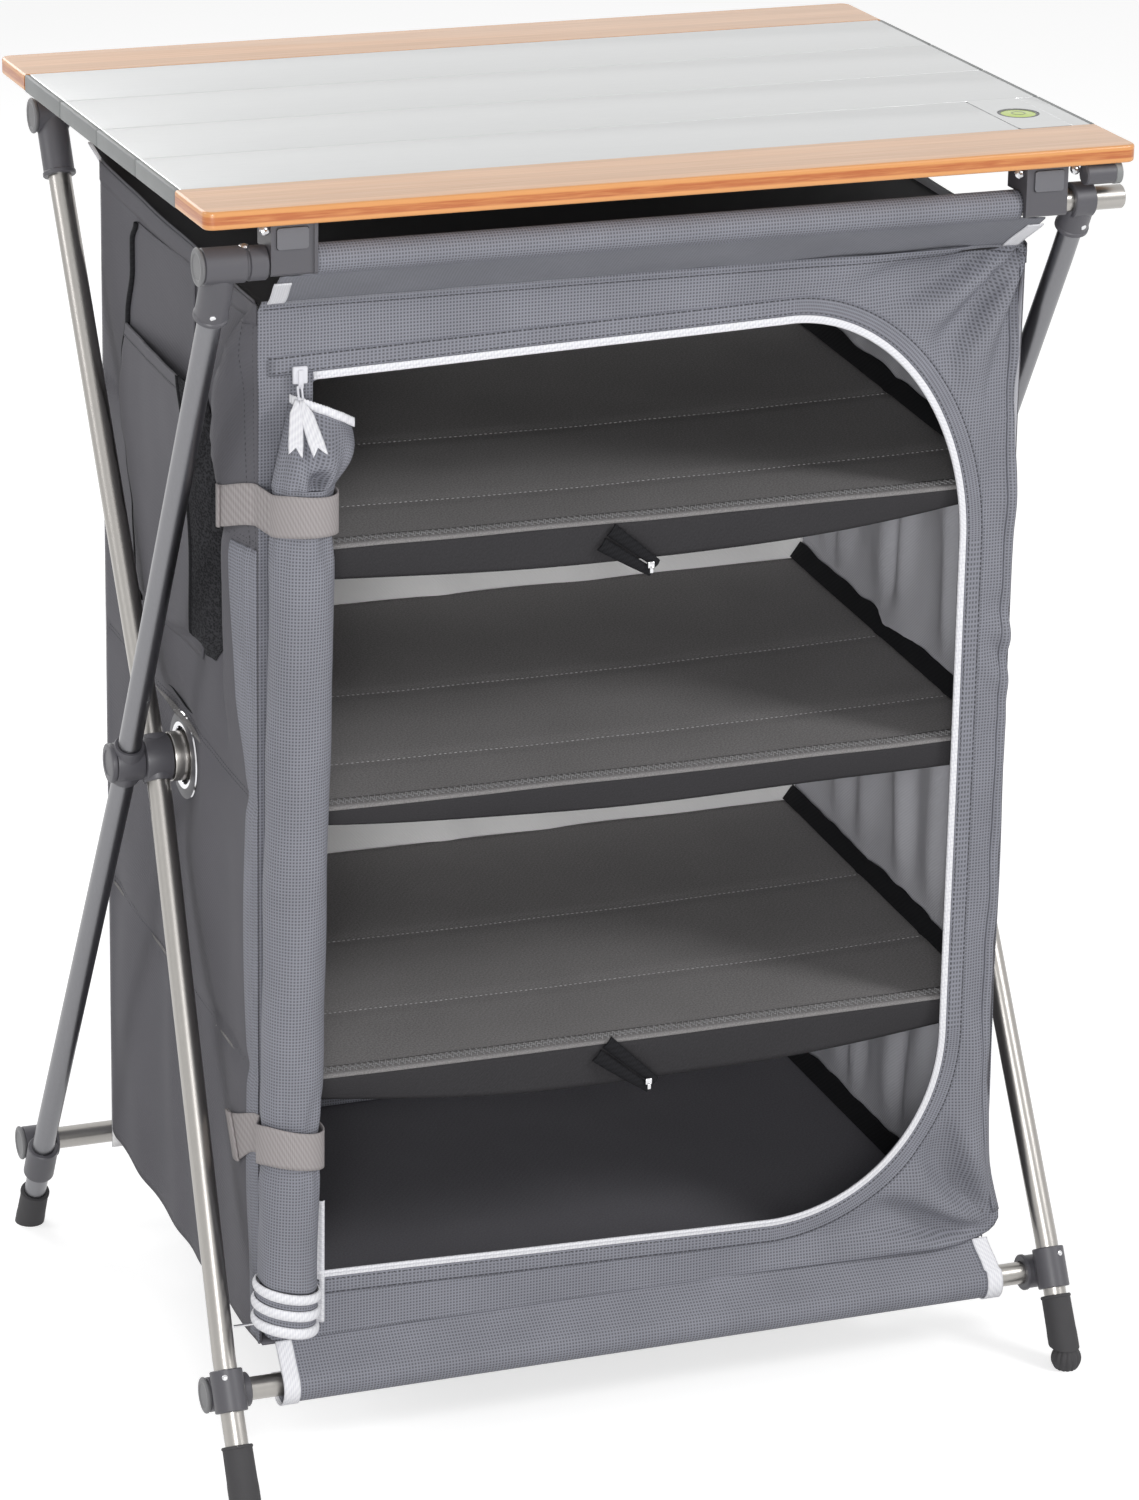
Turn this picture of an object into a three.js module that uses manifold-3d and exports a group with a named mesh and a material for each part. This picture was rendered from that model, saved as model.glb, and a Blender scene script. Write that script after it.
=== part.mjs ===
// A folding camp kitchen: a roll-up table top hooked on two crossed tube frames, with a zipped
// textile cabinet hung between them.
// Millimetres. +X right, +Y away from the door, +Z up, origin on the ground under the table.
import * as THREE from "three";
import { ConvexGeometry } from "three/addons/geometries/ConvexGeometry.js";
import { mergeVertices } from "three/addons/utils/BufferGeometryUtils.js";
import Module from "manifold-3d";

const wasm = await Module();
wasm.setup();

// Clearances and modelling values
const fit = 0.3;
const overrun = 1;
const weldDistance = 0.001;
const roundSides = 16;
const smallSides = 12;
const arcSteps = 9;
const smallArcSteps = 2;
const halfTurn = 180;

// Table top
const tableLength = 800;
const tableTop = 1105;
const tableThickness = 15;
const slatCount = 4;
const slatDepth = 108.7;
const slatGap = 0.8;
const slatEdgeRadius = 1.6;
const slatCapLength = 4;
const slatCapGroove = 0.7;
const plankDepth = 78.6;
const plankCornerRadius = 9;
const plankEdgeBevel = 2.4;

// Bubble level in the first slat
const levelInset = 45.4;
const levelSlat = 0;
const levelRadius = 17.5;
const levelDepth = 6;
const levelRimWidth = 2;
const levelRimStep = 0.6;

// Tubes and the crossing of the frames
const tubeRadius = 10;
const hubHeight = 555;
const topBarInset = 25;
const outerLegX = 380;
const outerFootSpread = 10.5;
const innerLegHubInset = 25;
const innerLegTopInset = 18;
const innerFootInset = 7;
const legStraightAtHub = 25;
const legStraightAtEnds = 55;
const bottomTeeHeight = 80;
const bottomBarOffset = 22;

// T connectors; each reach is measured from the leg, inwards and outwards
const teeSleeveRadius = 14.75;
const teeSocketRadius = 13.5;
const teeLipRadius = 14.4;
const teeLipLength = 4;
const teeSocketLength = 55;
const teeGrooveWidth = 1.1;
const teeGrooveDepth = 1.3;
const teeCapRadius = 15.5;
const teeCapThickness = 2.8;
const teeCapDome = 1;
const teeEndWall = 2;
const topOuterSleeveReach = [-19, 16];
const topOuterSpacerReach = [-36.4, -21];
const topSpacerRadius = 14;
const topInnerSleeveReach = [-10, 9];
const topInnerCappedSleeveReach = [-14, 14];
const barStubReach = 37;
const bottomOuterSleeveReach = [-16.5, 11.5];
const bottomInnerSleeveReach = [-23, 13];
const bottomFlangeWidth = 3;
const bottomFlangeRadius = 16;
const bottomLegSleeveLength = 36;
const bottomLegSleeveRadius = 14;

// Hub
const hubOuterSleeveReach = [-12.8, 12];
const hubOuterRadius = 17;
const hubInnerSleeveReach = [-12, 11.8];
const hubInnerRadius = 20;
const hubSleeveBevel = 1.5;
const hubCollarLength = 17;
const hubCollarRadius = 21.5;
const hubCollarBevel = 1.2;
const axleRadius = 4;
const axleReach = 43;
const axleCapThickness = 4.7;

// Feet
const footTopRadius = 12.6;
const footRadius = 14;
const footLength = 45;
const footSole = 12;
const footLipBevel = 1.2;
const knobRadius = 13.5;
const knobHeight = 18.7;
const knobRibs = 14;
const knobRibDepth = 1.1;
const knobStudRadius = 4;
const knobStudLength = 24;

// Clips under the planks
const clipHead = 23.4;
const clipWidth = 38;
const clipWall = 4;
const clipLowerEnd = 9;
const clipDepth = 35;
const clipRibWidth = 3;
const clipRibHeight = 1.7;
const buttonWidth = 26;
const buttonHeight = 17.4;
const buttonDepth = 8.4;
const buttonProud = 1.6;
const buttonTravel = 3;
const buttonCornerRadius = 2.5;
const buttonBelowTable = 4;

// Textile cabinet
const clothThickness = 2;
const cabinetSideRoom = 7;
const cabinetFrontInset = 43;
const cabinetBackInset = 61;
const bottomRise = 24;
const shoulderDrop = 44;
const cabinetBulge = 16;
const cabinetBulgeHeight = 190;
const cabinetCornerRadius = 24;
const topPanelDrop = 3;
const sideTopRise = 18;
const sideBottomRise = 18;
const sideBottomDrop = 4;
const sleeveEndRoom = 0.5;
const sleeveThickness = 2;
const tunnelInset = 30;
const tunnelRadius = 17;
const floorThickness = 3;

// Door opening in the front panel
const openingLeftInset = 46;
const openingRightInset = 51;
const openingTopInset = 53;
const openingBottomInset = 48;
const openingLeftDraw = 13;
const openingTopCorner = [158, 203];
const openingBottomCorner = [155, 158];
const tapeWidth = 9;
const tapeThickness = 1.5;
const tapeOverlap = 6;
const sliderWidth = 12;
const sliderHeight = 16;
const sliderThickness = 4;
const sliderOutset = 12;
const sliderRise = 5;

// Zip pull
const pullWidth = 12;
const pullTipWidth = 3;
const pullLength = 38;
const pullThickness = 2;
const pullOutset = 10;

// Shelves
const shelfThickness = 4;
const middleShelfAboveHub = 23;
const upperShelfShare = 0.5184;
const lowerShelfShare = 0.4979;
const shelfRise = 28;
const shelfFrontInset = 4;
const flapDrop = 30;
const flapThickness = 2;

// Rolled door and its straps
const rollRadius = 28;
const rollTopInset = 36;
const rollBottomInset = 17;
const rollBottomRise = 8;
const rollTopDrop = 66;
const rollFlareRises = [25, 50, 62];
const rollFlareInsets = [51, 55, 57];
const rollFlareRadii = [25, 18, 10];
const rollTurns = 3;
const rollStepsPerTurn = 14;
const rollPitch = 7;
const rollClothThickness = 3;
const strapThickness = 1.7;
const strapWidth = 36;
const strapSideLength = 75;
const upperStrapDrop = 50;
const lowerStrapRise = 170;
const strapCornerBack = 6;

// Side pocket
const pocketSetback = 156;
const pocketLength = 202;
const pocketFrontDepth = 17;
const pocketRearDepth = 4.5;
const pocketAboveHub = 113;
const pocketBelowTop = 107;
const pocketWall = 1.5;
const pocketGussetWidth = 14;

// Eyelets
const eyeletRadius = 38.5;
const eyeletWasherRadius = 31;
const eyeletBore = 25;
const eyeletFlange = 1.8;
const eyeletBarrel = 2;

// Sizes that follow
const tableUnderside = tableTop - tableThickness;
const boreRadius = tubeRadius + fit;
const slatPitch = slatDepth + slatGap;
const tableHalfDepth = (slatCount * slatPitch + slatGap) / 2 + plankDepth;
const topBarReach = tableHalfDepth - topBarInset;
const cabinetFront = cabinetFrontInset - topBarReach;
const cabinetBack = topBarReach - cabinetBackInset;
const strapSideEnd = cabinetFront + strapSideLength;
const pocketFront = cabinetFront + pocketSetback;
const pocketRear = pocketFront + pocketLength;
const topBarHeight = tableUnderside - fit - clipHead - boreRadius;
const outerFootX = outerLegX + outerFootSpread;
const innerLegHubX = outerLegX - innerLegHubInset;
const innerLegTopX = outerLegX - innerLegTopInset;
const innerFootX = outerLegX - innerFootInset;
const topOuterSleeve = spanAt(outerLegX, topOuterSleeveReach);
const topOuterSpacer = spanAt(outerLegX, topOuterSpacerReach);
const topInnerSleeve = spanAt(innerLegTopX, topInnerSleeveReach);
const topInnerCappedSleeve = spanAt(innerLegTopX, topInnerCappedSleeveReach);
const barStubEnd = innerLegTopX + barStubReach;
const bottomOuterSleeve = spanAt(outerFootX, bottomOuterSleeveReach);
const bottomInnerSleeve = spanAt(innerFootX, bottomInnerSleeveReach);
const hubOuterSleeve = spanAt(outerLegX, hubOuterSleeveReach);
const hubInnerSleeve = spanAt(innerLegHubX, hubInnerSleeveReach);
const hubCollarStart = hubInnerSleeve[0] - hubCollarLength;
const axleInnerEnd = hubInnerSleeve[0] - axleReach;
const clipStart = topOuterSpacer[0] - 2 * fit - clipWidth;
const cabinetHalfWidth = hubInnerSleeve[0] - cabinetSideRoom;
const stripHalfWidth = clipStart - sleeveEndRoom;
const tunnelHalfWidth = cabinetHalfWidth - tunnelInset;
const cabinetShoulder = topBarHeight - shoulderDrop;
const cabinetBottom = bottomTeeHeight + bottomRise;
const middleShelf = hubHeight + middleShelfAboveHub;
const upperShelf = middleShelf + upperShelfShare * (cabinetShoulder - middleShelf);
const lowerShelf = cabinetBottom + lowerShelfShare * (middleShelf - cabinetBottom);
const openingLeft = openingLeftInset - cabinetHalfWidth;
const openingRight = cabinetHalfWidth - openingRightInset;
const openingTop = cabinetShoulder - openingTopInset;
const openingTopLeft = openingTop - openingLeftDraw;
const openingBottom = cabinetBottom + openingBottomInset;
const openingBottomLeft = openingBottom + openingLeftDraw;
const tapeLeftEnd = openingLeft + tapeOverlap;
const sliderX = openingLeft - sliderOutset;
const sliderZ = openingTopLeft + sliderRise;
const pullX = sliderX - pullOutset;
const pullTop = sliderZ - sliderHeight / 2 - 2 * fit;
const rollTopX = rollTopInset - cabinetHalfWidth;
const rollBottomX = rollBottomInset - cabinetHalfWidth;
const rollBottom = cabinetBottom + rollBottomRise;
const rollTop = openingTopLeft - rollTopDrop;
const upperStrapHeight = rollTop - upperStrapDrop;
const lowerStrapHeight = rollBottom + lowerStrapRise;
const pocketBottom = hubHeight + pocketAboveHub;
const pocketTop = cabinetShoulder - pocketBelowTop;
const lean = Math.atan2(topBarReach, topBarHeight - hubHeight);
const legRise = Math.hypot(topBarReach, topBarHeight - hubHeight);
const groundRun = hubHeight / Math.cos(lean);
const bottomTeeRun = (hubHeight - bottomTeeHeight) / Math.cos(lean);
const levelX = tableLength / 2 - levelInset;
const levelY = (levelSlat - (slatCount - 1) / 2) * slatPitch;
const legTopEnd = legRise - tubeRadius - 5 * fit;
const axleBore = axleRadius + fit;
const bottomBarY = -bottomTeeRun * Math.sin(lean) + bottomBarOffset * Math.cos(lean);
const bottomBarZ = hubHeight - bottomTeeRun * Math.cos(lean) - bottomBarOffset * Math.sin(lean);
const rearBarY = bottomTeeRun * Math.sin(lean) + bottomBarOffset * Math.cos(lean);
const rearBarZ = hubHeight - bottomTeeRun * Math.cos(lean) + bottomBarOffset * Math.sin(lean);
const panelFrontFace = cabinetFront - clothThickness / 2;
const panelBackFace = cabinetFront + clothThickness / 2;
const backInnerFace = cabinetBack - clothThickness / 2;
const sideInnerX = cabinetHalfWidth - clothThickness;

const materials = {
  bamboo: surface(0xdca878, 0.45, 0),
  aluminium: surface(0xc4c4c6, 0.38, 0.9),
  greyTube: surface(0x8f8f8d, 0.42, 0.8),
  chrome: surface(0xdadada, 0.15, 1),
  blackPlastic: surface(0x3c3c3e, 0.5, 0),
  rubber: surface(0x3a3a3c, 0.8, 0),
  levelVial: surface(0xb8d84a, 0.2, 0),
  greyCloth: surface(0x66666c, 0.9, 0),
  feltCloth: surface(0x484848, 0.95, 0),
  whiteTape: surface(0xf0f0f2, 0.7, 0),
  strapCloth: surface(0xa39e9c, 0.8, 0),
};

function surface(color, roughness, metalness) {
  return new THREE.MeshStandardMaterial({ color, roughness, metalness });
}

/** A span of distances along X, given by how far it reaches each way from a leg. */
function spanAt(legX, reach) {
  return reach.map((distance) => legX + distance);
}

/** A three.js geometry as a solid that can be joined and cut. */
function solid(geometry) {
  const plain = new THREE.BufferGeometry();
  const flat = geometry.index ? geometry.toNonIndexed() : geometry;
  plain.setAttribute("position", flat.getAttribute("position"));
  const merged = mergeVertices(plain, weldDistance);
  return new wasm.Manifold(
    new wasm.Mesh({
      numProp: 3,
      vertProperties: merged.attributes.position.array,
      triVerts: new Uint32Array(merged.index.array),
    }),
  );
}

/** A solid as a three.js geometry. */
function geometryOf(shape) {
  const mesh = shape.getMesh();
  const geometry = new THREE.BufferGeometry();
  const places = new THREE.BufferAttribute(new Float32Array(mesh.vertProperties), mesh.numProp);
  geometry.setAttribute("position", places);
  geometry.setIndex(new THREE.BufferAttribute(new Uint32Array(mesh.triVerts), 1));
  geometry.computeVertexNormals();
  return geometry;
}

/** Adds one named mesh to a group. */
function addPart(group, name, shape, material) {
  const geometry = shape.isBufferGeometry ? shape : geometryOf(shape);
  const mesh = new THREE.Mesh(geometry, material);
  mesh.name = name;
  group.add(mesh);
  return mesh;
}

function joined(shapes) {
  return shapes.reduce((all, shape) => all.add(shape));
}

/** A round rod between two points, with one radius or one for each end. */
function rod(from, to, startRadius, endRadius = startRadius, sides = roundSides) {
  const start = new THREE.Vector3(...from);
  const span = new THREE.Vector3(...to).sub(start);
  const length = span.length();
  const geometry = new THREE.CylinderGeometry(endRadius, startRadius, length, sides);
  geometry.translate(0, length / 2, 0);
  const up = new THREE.Vector3(0, 1, 0);
  geometry.applyQuaternion(new THREE.Quaternion().setFromUnitVectors(up, span.normalize()));
  geometry.translate(start.x, start.y, start.z);
  return solid(geometry);
}

/** A rod along X at the side that the sign names, over a span of distances from the middle. */
function rodAcross(side, span, y, z, radius, sides = roundSides) {
  return rod([side * span[0], y, z], [side * span[1], y, z], radius, radius, sides);
}

function block(low, high) {
  const size = high.map((value, axis) => value - low[axis]);
  const geometry = new THREE.BoxGeometry(...size);
  geometry.translate(...size.map((value, axis) => low[axis] + value / 2));
  return solid(geometry);
}

/** A shape drawn in Y and Z, carried along X. */
function carriedAlongX(shape, from, to, steps = arcSteps) {
  const geometry = new THREE.ExtrudeGeometry(shape, {
    depth: to - from,
    bevelEnabled: false,
    curveSegments: steps,
  });
  const turn = new THREE.Matrix4().makeBasis(
    new THREE.Vector3(0, 1, 0),
    new THREE.Vector3(0, 0, 1),
    new THREE.Vector3(1, 0, 0),
  );
  return solid(geometry.applyMatrix4(turn).translate(from, 0, 0));
}

/** A shape drawn in X and Z, carried along Y. */
function carriedAlongY(shape, from, to, steps = arcSteps) {
  const geometry = new THREE.ExtrudeGeometry(shape, {
    depth: to - from,
    bevelEnabled: false,
    curveSegments: steps,
  });
  const turn = new THREE.Matrix4().makeBasis(
    new THREE.Vector3(1, 0, 0),
    new THREE.Vector3(0, 0, 1),
    new THREE.Vector3(0, -1, 0),
  );
  return solid(geometry.applyMatrix4(turn).translate(0, to, 0));
}

/** A shape drawn in X and Y, carried along Z. */
function carriedAlongZ(shape, from, to, steps = arcSteps) {
  const geometry = new THREE.ExtrudeGeometry(shape, {
    depth: to - from,
    bevelEnabled: false,
    curveSegments: steps,
  });
  return solid(geometry.translate(0, 0, from));
}

function outline(points) {
  return new THREE.Shape(points.map(([a, b]) => new THREE.Vector2(a, b)));
}

/** A rectangle with rounded corners between two corners. */
function roundedRectangle(low, high, radius) {
  const shape = new THREE.Shape();
  const [left, bottom] = low;
  const [right, top] = high;
  shape.moveTo(left + radius, bottom);
  shape.absarc(right - radius, bottom + radius, radius, -Math.PI / 2, 0);
  shape.absarc(right - radius, top - radius, radius, 0, Math.PI / 2);
  shape.absarc(left + radius, top - radius, radius, Math.PI / 2, Math.PI);
  shape.absarc(left + radius, bottom + radius, radius, Math.PI, 1.5 * Math.PI);
  shape.closePath();
  return shape;
}

/** A tube with one ring of unit radius at each station, closed at both ends. */
function tubeThrough(stations, sides = roundSides) {
  const last = stations.length - 1;
  const geometry = new THREE.CylinderGeometry(1, 1, last, sides, last);
  geometry.rotateX(Math.PI / 2);
  const places = geometry.getAttribute("position");
  for (let i = 0; i < places.count; i++) {
    const station = stations[Math.round(places.getZ(i) + last / 2)];
    const x = station.x + station.radius * places.getX(i);
    const y = station.y + station.radius * places.getY(i);
    places.setXYZ(i, x, y, station.z);
  }
  return solid(geometry);
}

/** A turned piece whose axis is X: the profile holds [radius, distance along X]. */
function turnedAcross(profile, sides = roundSides) {
  const points = profile.map(([radius, x]) => new THREE.Vector2(radius, x));
  return solid(new THREE.LatheGeometry(points, sides).rotateZ(-Math.PI / 2));
}

/** A turned piece whose axis is Z: the profile holds [radius, height]. */
function turnedUpright(profile, sides = roundSides) {
  const points = profile.map(([radius, z]) => new THREE.Vector2(radius, z));
  return solid(new THREE.LatheGeometry(points, sides).rotateX(Math.PI / 2));
}

/** A flat strip of cloth, seen from the end, between two points in Y and Z. */
function clothStrip(from, to, halfWidth) {
  const along = new THREE.Vector2(to[0] - from[0], to[1] - from[1]).normalize();
  const half = clothThickness / 2;
  const side = [-along.y * half, along.x * half];
  const corners = [
    [from[0] - side[0], from[1] - side[1]],
    [to[0] - side[0], to[1] - side[1]],
    [to[0] + side[0], to[1] + side[1]],
    [from[0] + side[0], from[1] + side[1]],
  ];
  return carriedAlongX(outline(corners), -halfWidth, halfWidth);
}

// Table top

function makeSlat(index) {
  const firstY = -slatCount * slatPitch * 0.5 + slatGap / 2;
  const front = firstY + index * slatPitch;
  const section = (shrink) =>
    roundedRectangle(
      [front + shrink, tableUnderside + shrink],
      [front + slatDepth - shrink, tableTop - shrink],
      slatEdgeRadius,
    );
  const half = tableLength / 2;
  const bodyHalf = half - slatCapLength - slatCapGroove;
  const slat = joined([
    carriedAlongX(section(0), -bodyHalf, bodyHalf, smallArcSteps),
    carriedAlongX(section(slatCapGroove), -half + overrun, half - overrun, smallArcSteps),
    carriedAlongX(section(0), -half, -half + slatCapLength, smallArcSteps),
    carriedAlongX(section(0), half - slatCapLength, half, smallArcSteps),
  ]);
  if (index !== levelSlat) return slat;
  const seat = rod(
    [levelX, levelY, tableTop - levelDepth - fit],
    [levelX, levelY, tableTop + overrun],
    levelRadius + fit,
  );
  return slat.subtract(seat);
}

function makePlank() {
  const inner = (slatCount * slatPitch + slatGap) / 2;
  const outer = inner + plankDepth;
  const half = tableLength / 2;
  const shape = new THREE.Shape();
  shape.moveTo(-half, -inner);
  shape.absarc(
    -half + plankCornerRadius,
    -outer + plankCornerRadius,
    plankCornerRadius - plankEdgeBevel,
    Math.PI,
    1.5 * Math.PI,
  );
  shape.absarc(
    half - plankCornerRadius,
    -outer + plankCornerRadius,
    plankCornerRadius - plankEdgeBevel,
    1.5 * Math.PI,
    2 * Math.PI,
  );
  shape.lineTo(half - plankEdgeBevel, -inner);
  shape.lineTo(-half + plankEdgeBevel, -inner);
  const shapePoints = shape.getPoints(arcSteps / 2).slice(1);
  const geometry = new THREE.ExtrudeGeometry(new THREE.Shape(shapePoints), {
    depth: tableThickness - 2 * plankEdgeBevel,
    bevelEnabled: true,
    bevelThickness: plankEdgeBevel,
    bevelSize: plankEdgeBevel,
    bevelSegments: 2,
    curveSegments: arcSteps,
  });
  geometry.translate(0, 0, tableUnderside + plankEdgeBevel);
  const trim = block(
    [-tableLength, -inner, tableUnderside - overrun],
    [tableLength, 0, tableTop + overrun],
  );
  return solid(geometry).subtract(trim);
}

function makeLevel() {
  const base = tableTop - levelDepth;
  return turnedUpright([
    [0, base],
    [levelRadius, base],
    [levelRadius, tableTop],
    [levelRadius - levelRimWidth, tableTop],
    [levelRadius - levelRimWidth, tableTop - levelRimStep],
    [0, tableTop - levelRimStep / 2],
  ]).translate([levelX, levelY, 0]);
}

/** A clip in front, at the right: a hook that bears on the top bar and holds it from outside. */
function makeClip() {
  const bearing = topBarHeight + boreRadius;
  const wallInner = -topBarReach - boreRadius;
  const wallOuter = wallInner - clipWall;
  const top = tableUnderside - fit;
  const bottom = topBarHeight - clipLowerEnd;
  const profile = (proud) => {
    const shape = new THREE.Shape();
    shape.moveTo(wallOuter - proud, top);
    shape.lineTo(wallOuter - proud, bottom + clipWall / 2);
    shape.lineTo(wallOuter + clipWall / 2 - proud, bottom);
    shape.lineTo(wallInner, bottom);
    shape.lineTo(wallInner, topBarHeight);
    shape.absarc(-topBarReach, topBarHeight, boreRadius, Math.PI, Math.PI / 2, true);
    shape.lineTo(wallOuter + clipDepth, bearing);
    shape.lineTo(wallOuter + clipDepth, top);
    shape.closePath();
    return shape;
  };
  const hook = carriedAlongX(profile(0), clipStart, clipStart + clipWidth);
  const rib = carriedAlongX(profile(clipRibHeight), clipStart, clipStart + clipRibWidth);
  const [low, high] = buttonCorners();
  const pocket = carriedAlongY(
    roundedRectangle(
      [low[0] - fit, low[1] - fit],
      [high[0] + fit, high[1] + fit],
      buttonCornerRadius,
    ),
    wallOuter - clipRibHeight - overrun,
    wallOuter - buttonProud + buttonDepth + buttonTravel + fit,
    smallArcSteps,
  );
  return hook.add(rib).subtract(pocket);
}

function buttonCorners() {
  const middle = clipStart + (clipWidth + clipRibWidth) / 2;
  const top = tableUnderside - buttonBelowTable;
  return [
    [middle - buttonWidth / 2, top - buttonHeight],
    [middle + buttonWidth / 2, top],
  ];
}

function makeButton() {
  const [low, high] = buttonCorners();
  const front = -topBarReach - boreRadius - clipWall - buttonProud;
  return carriedAlongY(
    roundedRectangle(low, high, buttonCornerRadius),
    front,
    front + buttonDepth,
    smallArcSteps,
  );
}

// Frames, drawn upright with the hub at the origin and Z along the legs

function makeLeg(side, topX, hubX, footX, bottom, studBore) {
  const stations = [
    { z: bottom, x: footX },
    { z: -bottomTeeRun + legStraightAtEnds / 2, x: footX },
    { z: -legStraightAtHub, x: hubX },
    { z: legStraightAtHub, x: hubX },
    { z: legRise - teeSocketLength - legStraightAtEnds / 5, x: topX },
    { z: legTopEnd, x: topX },
  ].map(({ z, x }) => ({ x: side * x, y: 0, z, radius: tubeRadius }));
  let leg = tubeThrough(stations);
  const hole = rodAcross(side, [hubX - 2 * tubeRadius, hubX + 2 * tubeRadius], 0, 0, axleBore, smallSides * 2);
  leg = leg.subtract(hole);
  if (!studBore) return leg;
  const bore = rod(
    [side * footX, 0, bottom - overrun],
    [side * footX, 0, bottom + studBore],
    knobStudRadius + fit,
    knobStudRadius + fit,
    smallSides,
  );
  return leg.subtract(bore);
}

/** The cap of a T connector and the groove behind it, from the end of its sleeve outwards. */
function teeCap(side, start, y, z) {
  const grooveEnd = start + teeGrooveWidth;
  const capEnd = grooveEnd + teeCapThickness - teeCapDome;
  return joined([
    rodAcross(side, [start - overrun, grooveEnd + overrun], y, z, teeSleeveRadius - teeGrooveDepth),
    rodAcross(side, [grooveEnd, capEnd], y, z, teeCapRadius),
    rod(
      [side * (capEnd - teeCapDome / 2), y, z],
      [side * (capEnd + teeCapDome), y, z],
      teeCapRadius,
      teeCapRadius - 2 * teeCapDome,
    ),
  ]);
}

function makeTopTee(side, legX, sleeve, { capped, spacer }) {
  const socketEnd = legRise - teeSocketLength;
  const pieces = [
    rodAcross(side, sleeve, 0, legRise, teeSleeveRadius),
    rod([side * legX, 0, socketEnd], [side * legX, 0, legRise], teeSocketRadius),
    rod(
      [side * legX, 0, socketEnd],
      [side * legX, 0, socketEnd + teeLipLength],
      teeLipRadius,
    ),
  ];
  if (capped) pieces.push(teeCap(side, sleeve[1], 0, legRise));
  if (spacer) {
    pieces.push(rodAcross(side, spacer, 0, legRise, topSpacerRadius));
    const neck = [spacer[0] + overrun, sleeve[0] + overrun];
    pieces.push(rodAcross(side, neck, 0, legRise, topSpacerRadius - teeGrooveDepth));
  }
  const firstEdge = Math.min(spacer ? spacer[0] : sleeve[0], legX - teeSocketRadius);
  const lastEdge = Math.max(sleeve[1], legX + teeSocketRadius);
  const boreStart = firstEdge - overrun;
  const boreEnd = capped ? sleeve[1] - teeEndWall + fit : lastEdge + overrun;
  const barBore = rodAcross(side, [boreStart, boreEnd], 0, legRise, boreRadius);
  const legBore = rod(
    [side * legX, 0, socketEnd - overrun],
    [side * legX, 0, legRise],
    boreRadius,
  );
  return joined(pieces).subtract(barBore).subtract(legBore);
}

function makeBottomTee(side, legX, sleeve, flanged) {
  const y = bottomBarOffset;
  const z = -bottomTeeRun;
  const half = bottomLegSleeveLength / 2;
  const pieces = [
    rodAcross(side, sleeve, y, z, teeSleeveRadius),
    teeCap(side, sleeve[1], y, z),
    rod([side * legX, 0, z - half], [side * legX, 0, z + half], bottomLegSleeveRadius),
  ];
  const flangeStart = sleeve[0] - bottomFlangeWidth;
  if (flanged) pieces.push(rodAcross(side, [flangeStart, sleeve[0]], y, z, bottomFlangeRadius));
  const barBore = rodAcross(
    side,
    [flangeStart - overrun, sleeve[1] - teeEndWall + fit],
    y,
    z,
    boreRadius,
  );
  const legBore = rod(
    [side * legX, 0, z - half - overrun],
    [side * legX, 0, z + half + overrun],
    boreRadius,
  );
  return joined(pieces).subtract(barBore).subtract(legBore);
}

function makeBar(side, outerEnd, innerEnd, y, z) {
  return rod([side * outerEnd, y, z], [-side * innerEnd, y, z], tubeRadius);
}

function makeHubSleeve(side, span, legX, radius) {
  const sleeve = turnedAcross([
    [0, span[0]],
    [radius - hubSleeveBevel, span[0]],
    [radius, span[0] + hubSleeveBevel],
    [radius, span[1] - hubSleeveBevel],
    [radius - hubSleeveBevel, span[1]],
    [0, span[1]],
  ]);
  const placed = side > 0 ? sleeve : sleeve.rotate([0, 0, halfTurn]);
  const legBore = rod(
    [side * legX, 0, -radius - overrun],
    [side * legX, 0, radius + overrun],
    boreRadius,
  );
  const bore = [span[0] - overrun, span[1] + overrun];
  const axleHole = rodAcross(side, bore, 0, 0, axleBore, smallSides * 2);
  return placed.subtract(legBore).subtract(axleHole);
}

/** A rubber foot on the end of a leg, cut level at a height above the ground. */
function makeFoot(side, legX, tilt, cutHeight, legBottom, studded) {
  const end = -(hubHeight - cutHeight) / Math.cos(lean);
  const top = end + footLength;
  const low = end - 2 * footRadius;
  const sleeve = turnedUpright([
    [0, low],
    [footRadius, low],
    [footRadius, end + footLength / 3],
    [footTopRadius, top - footLipBevel],
    [footTopRadius - footLipBevel, top],
    [0, top],
  ]).translate([side * legX, 0, 0]);
  const bore = rod(
    [side * legX, 0, legBottom - fit],
    [side * legX, 0, top + overrun],
    boreRadius,
  );
  const groundNormal = [0, tilt * Math.sin(lean), Math.cos(lean)];
  const foot = sleeve.subtract(bore).trimByPlane(groundNormal, cutHeight - hubHeight);
  if (!studded) return foot;
  const studBore = rod(
    [side * legX, 0, low - overrun],
    [side * legX, 0, top],
    knobStudRadius + fit,
    knobStudRadius + fit,
    smallSides,
  );
  return foot.subtract(studBore);
}

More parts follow.
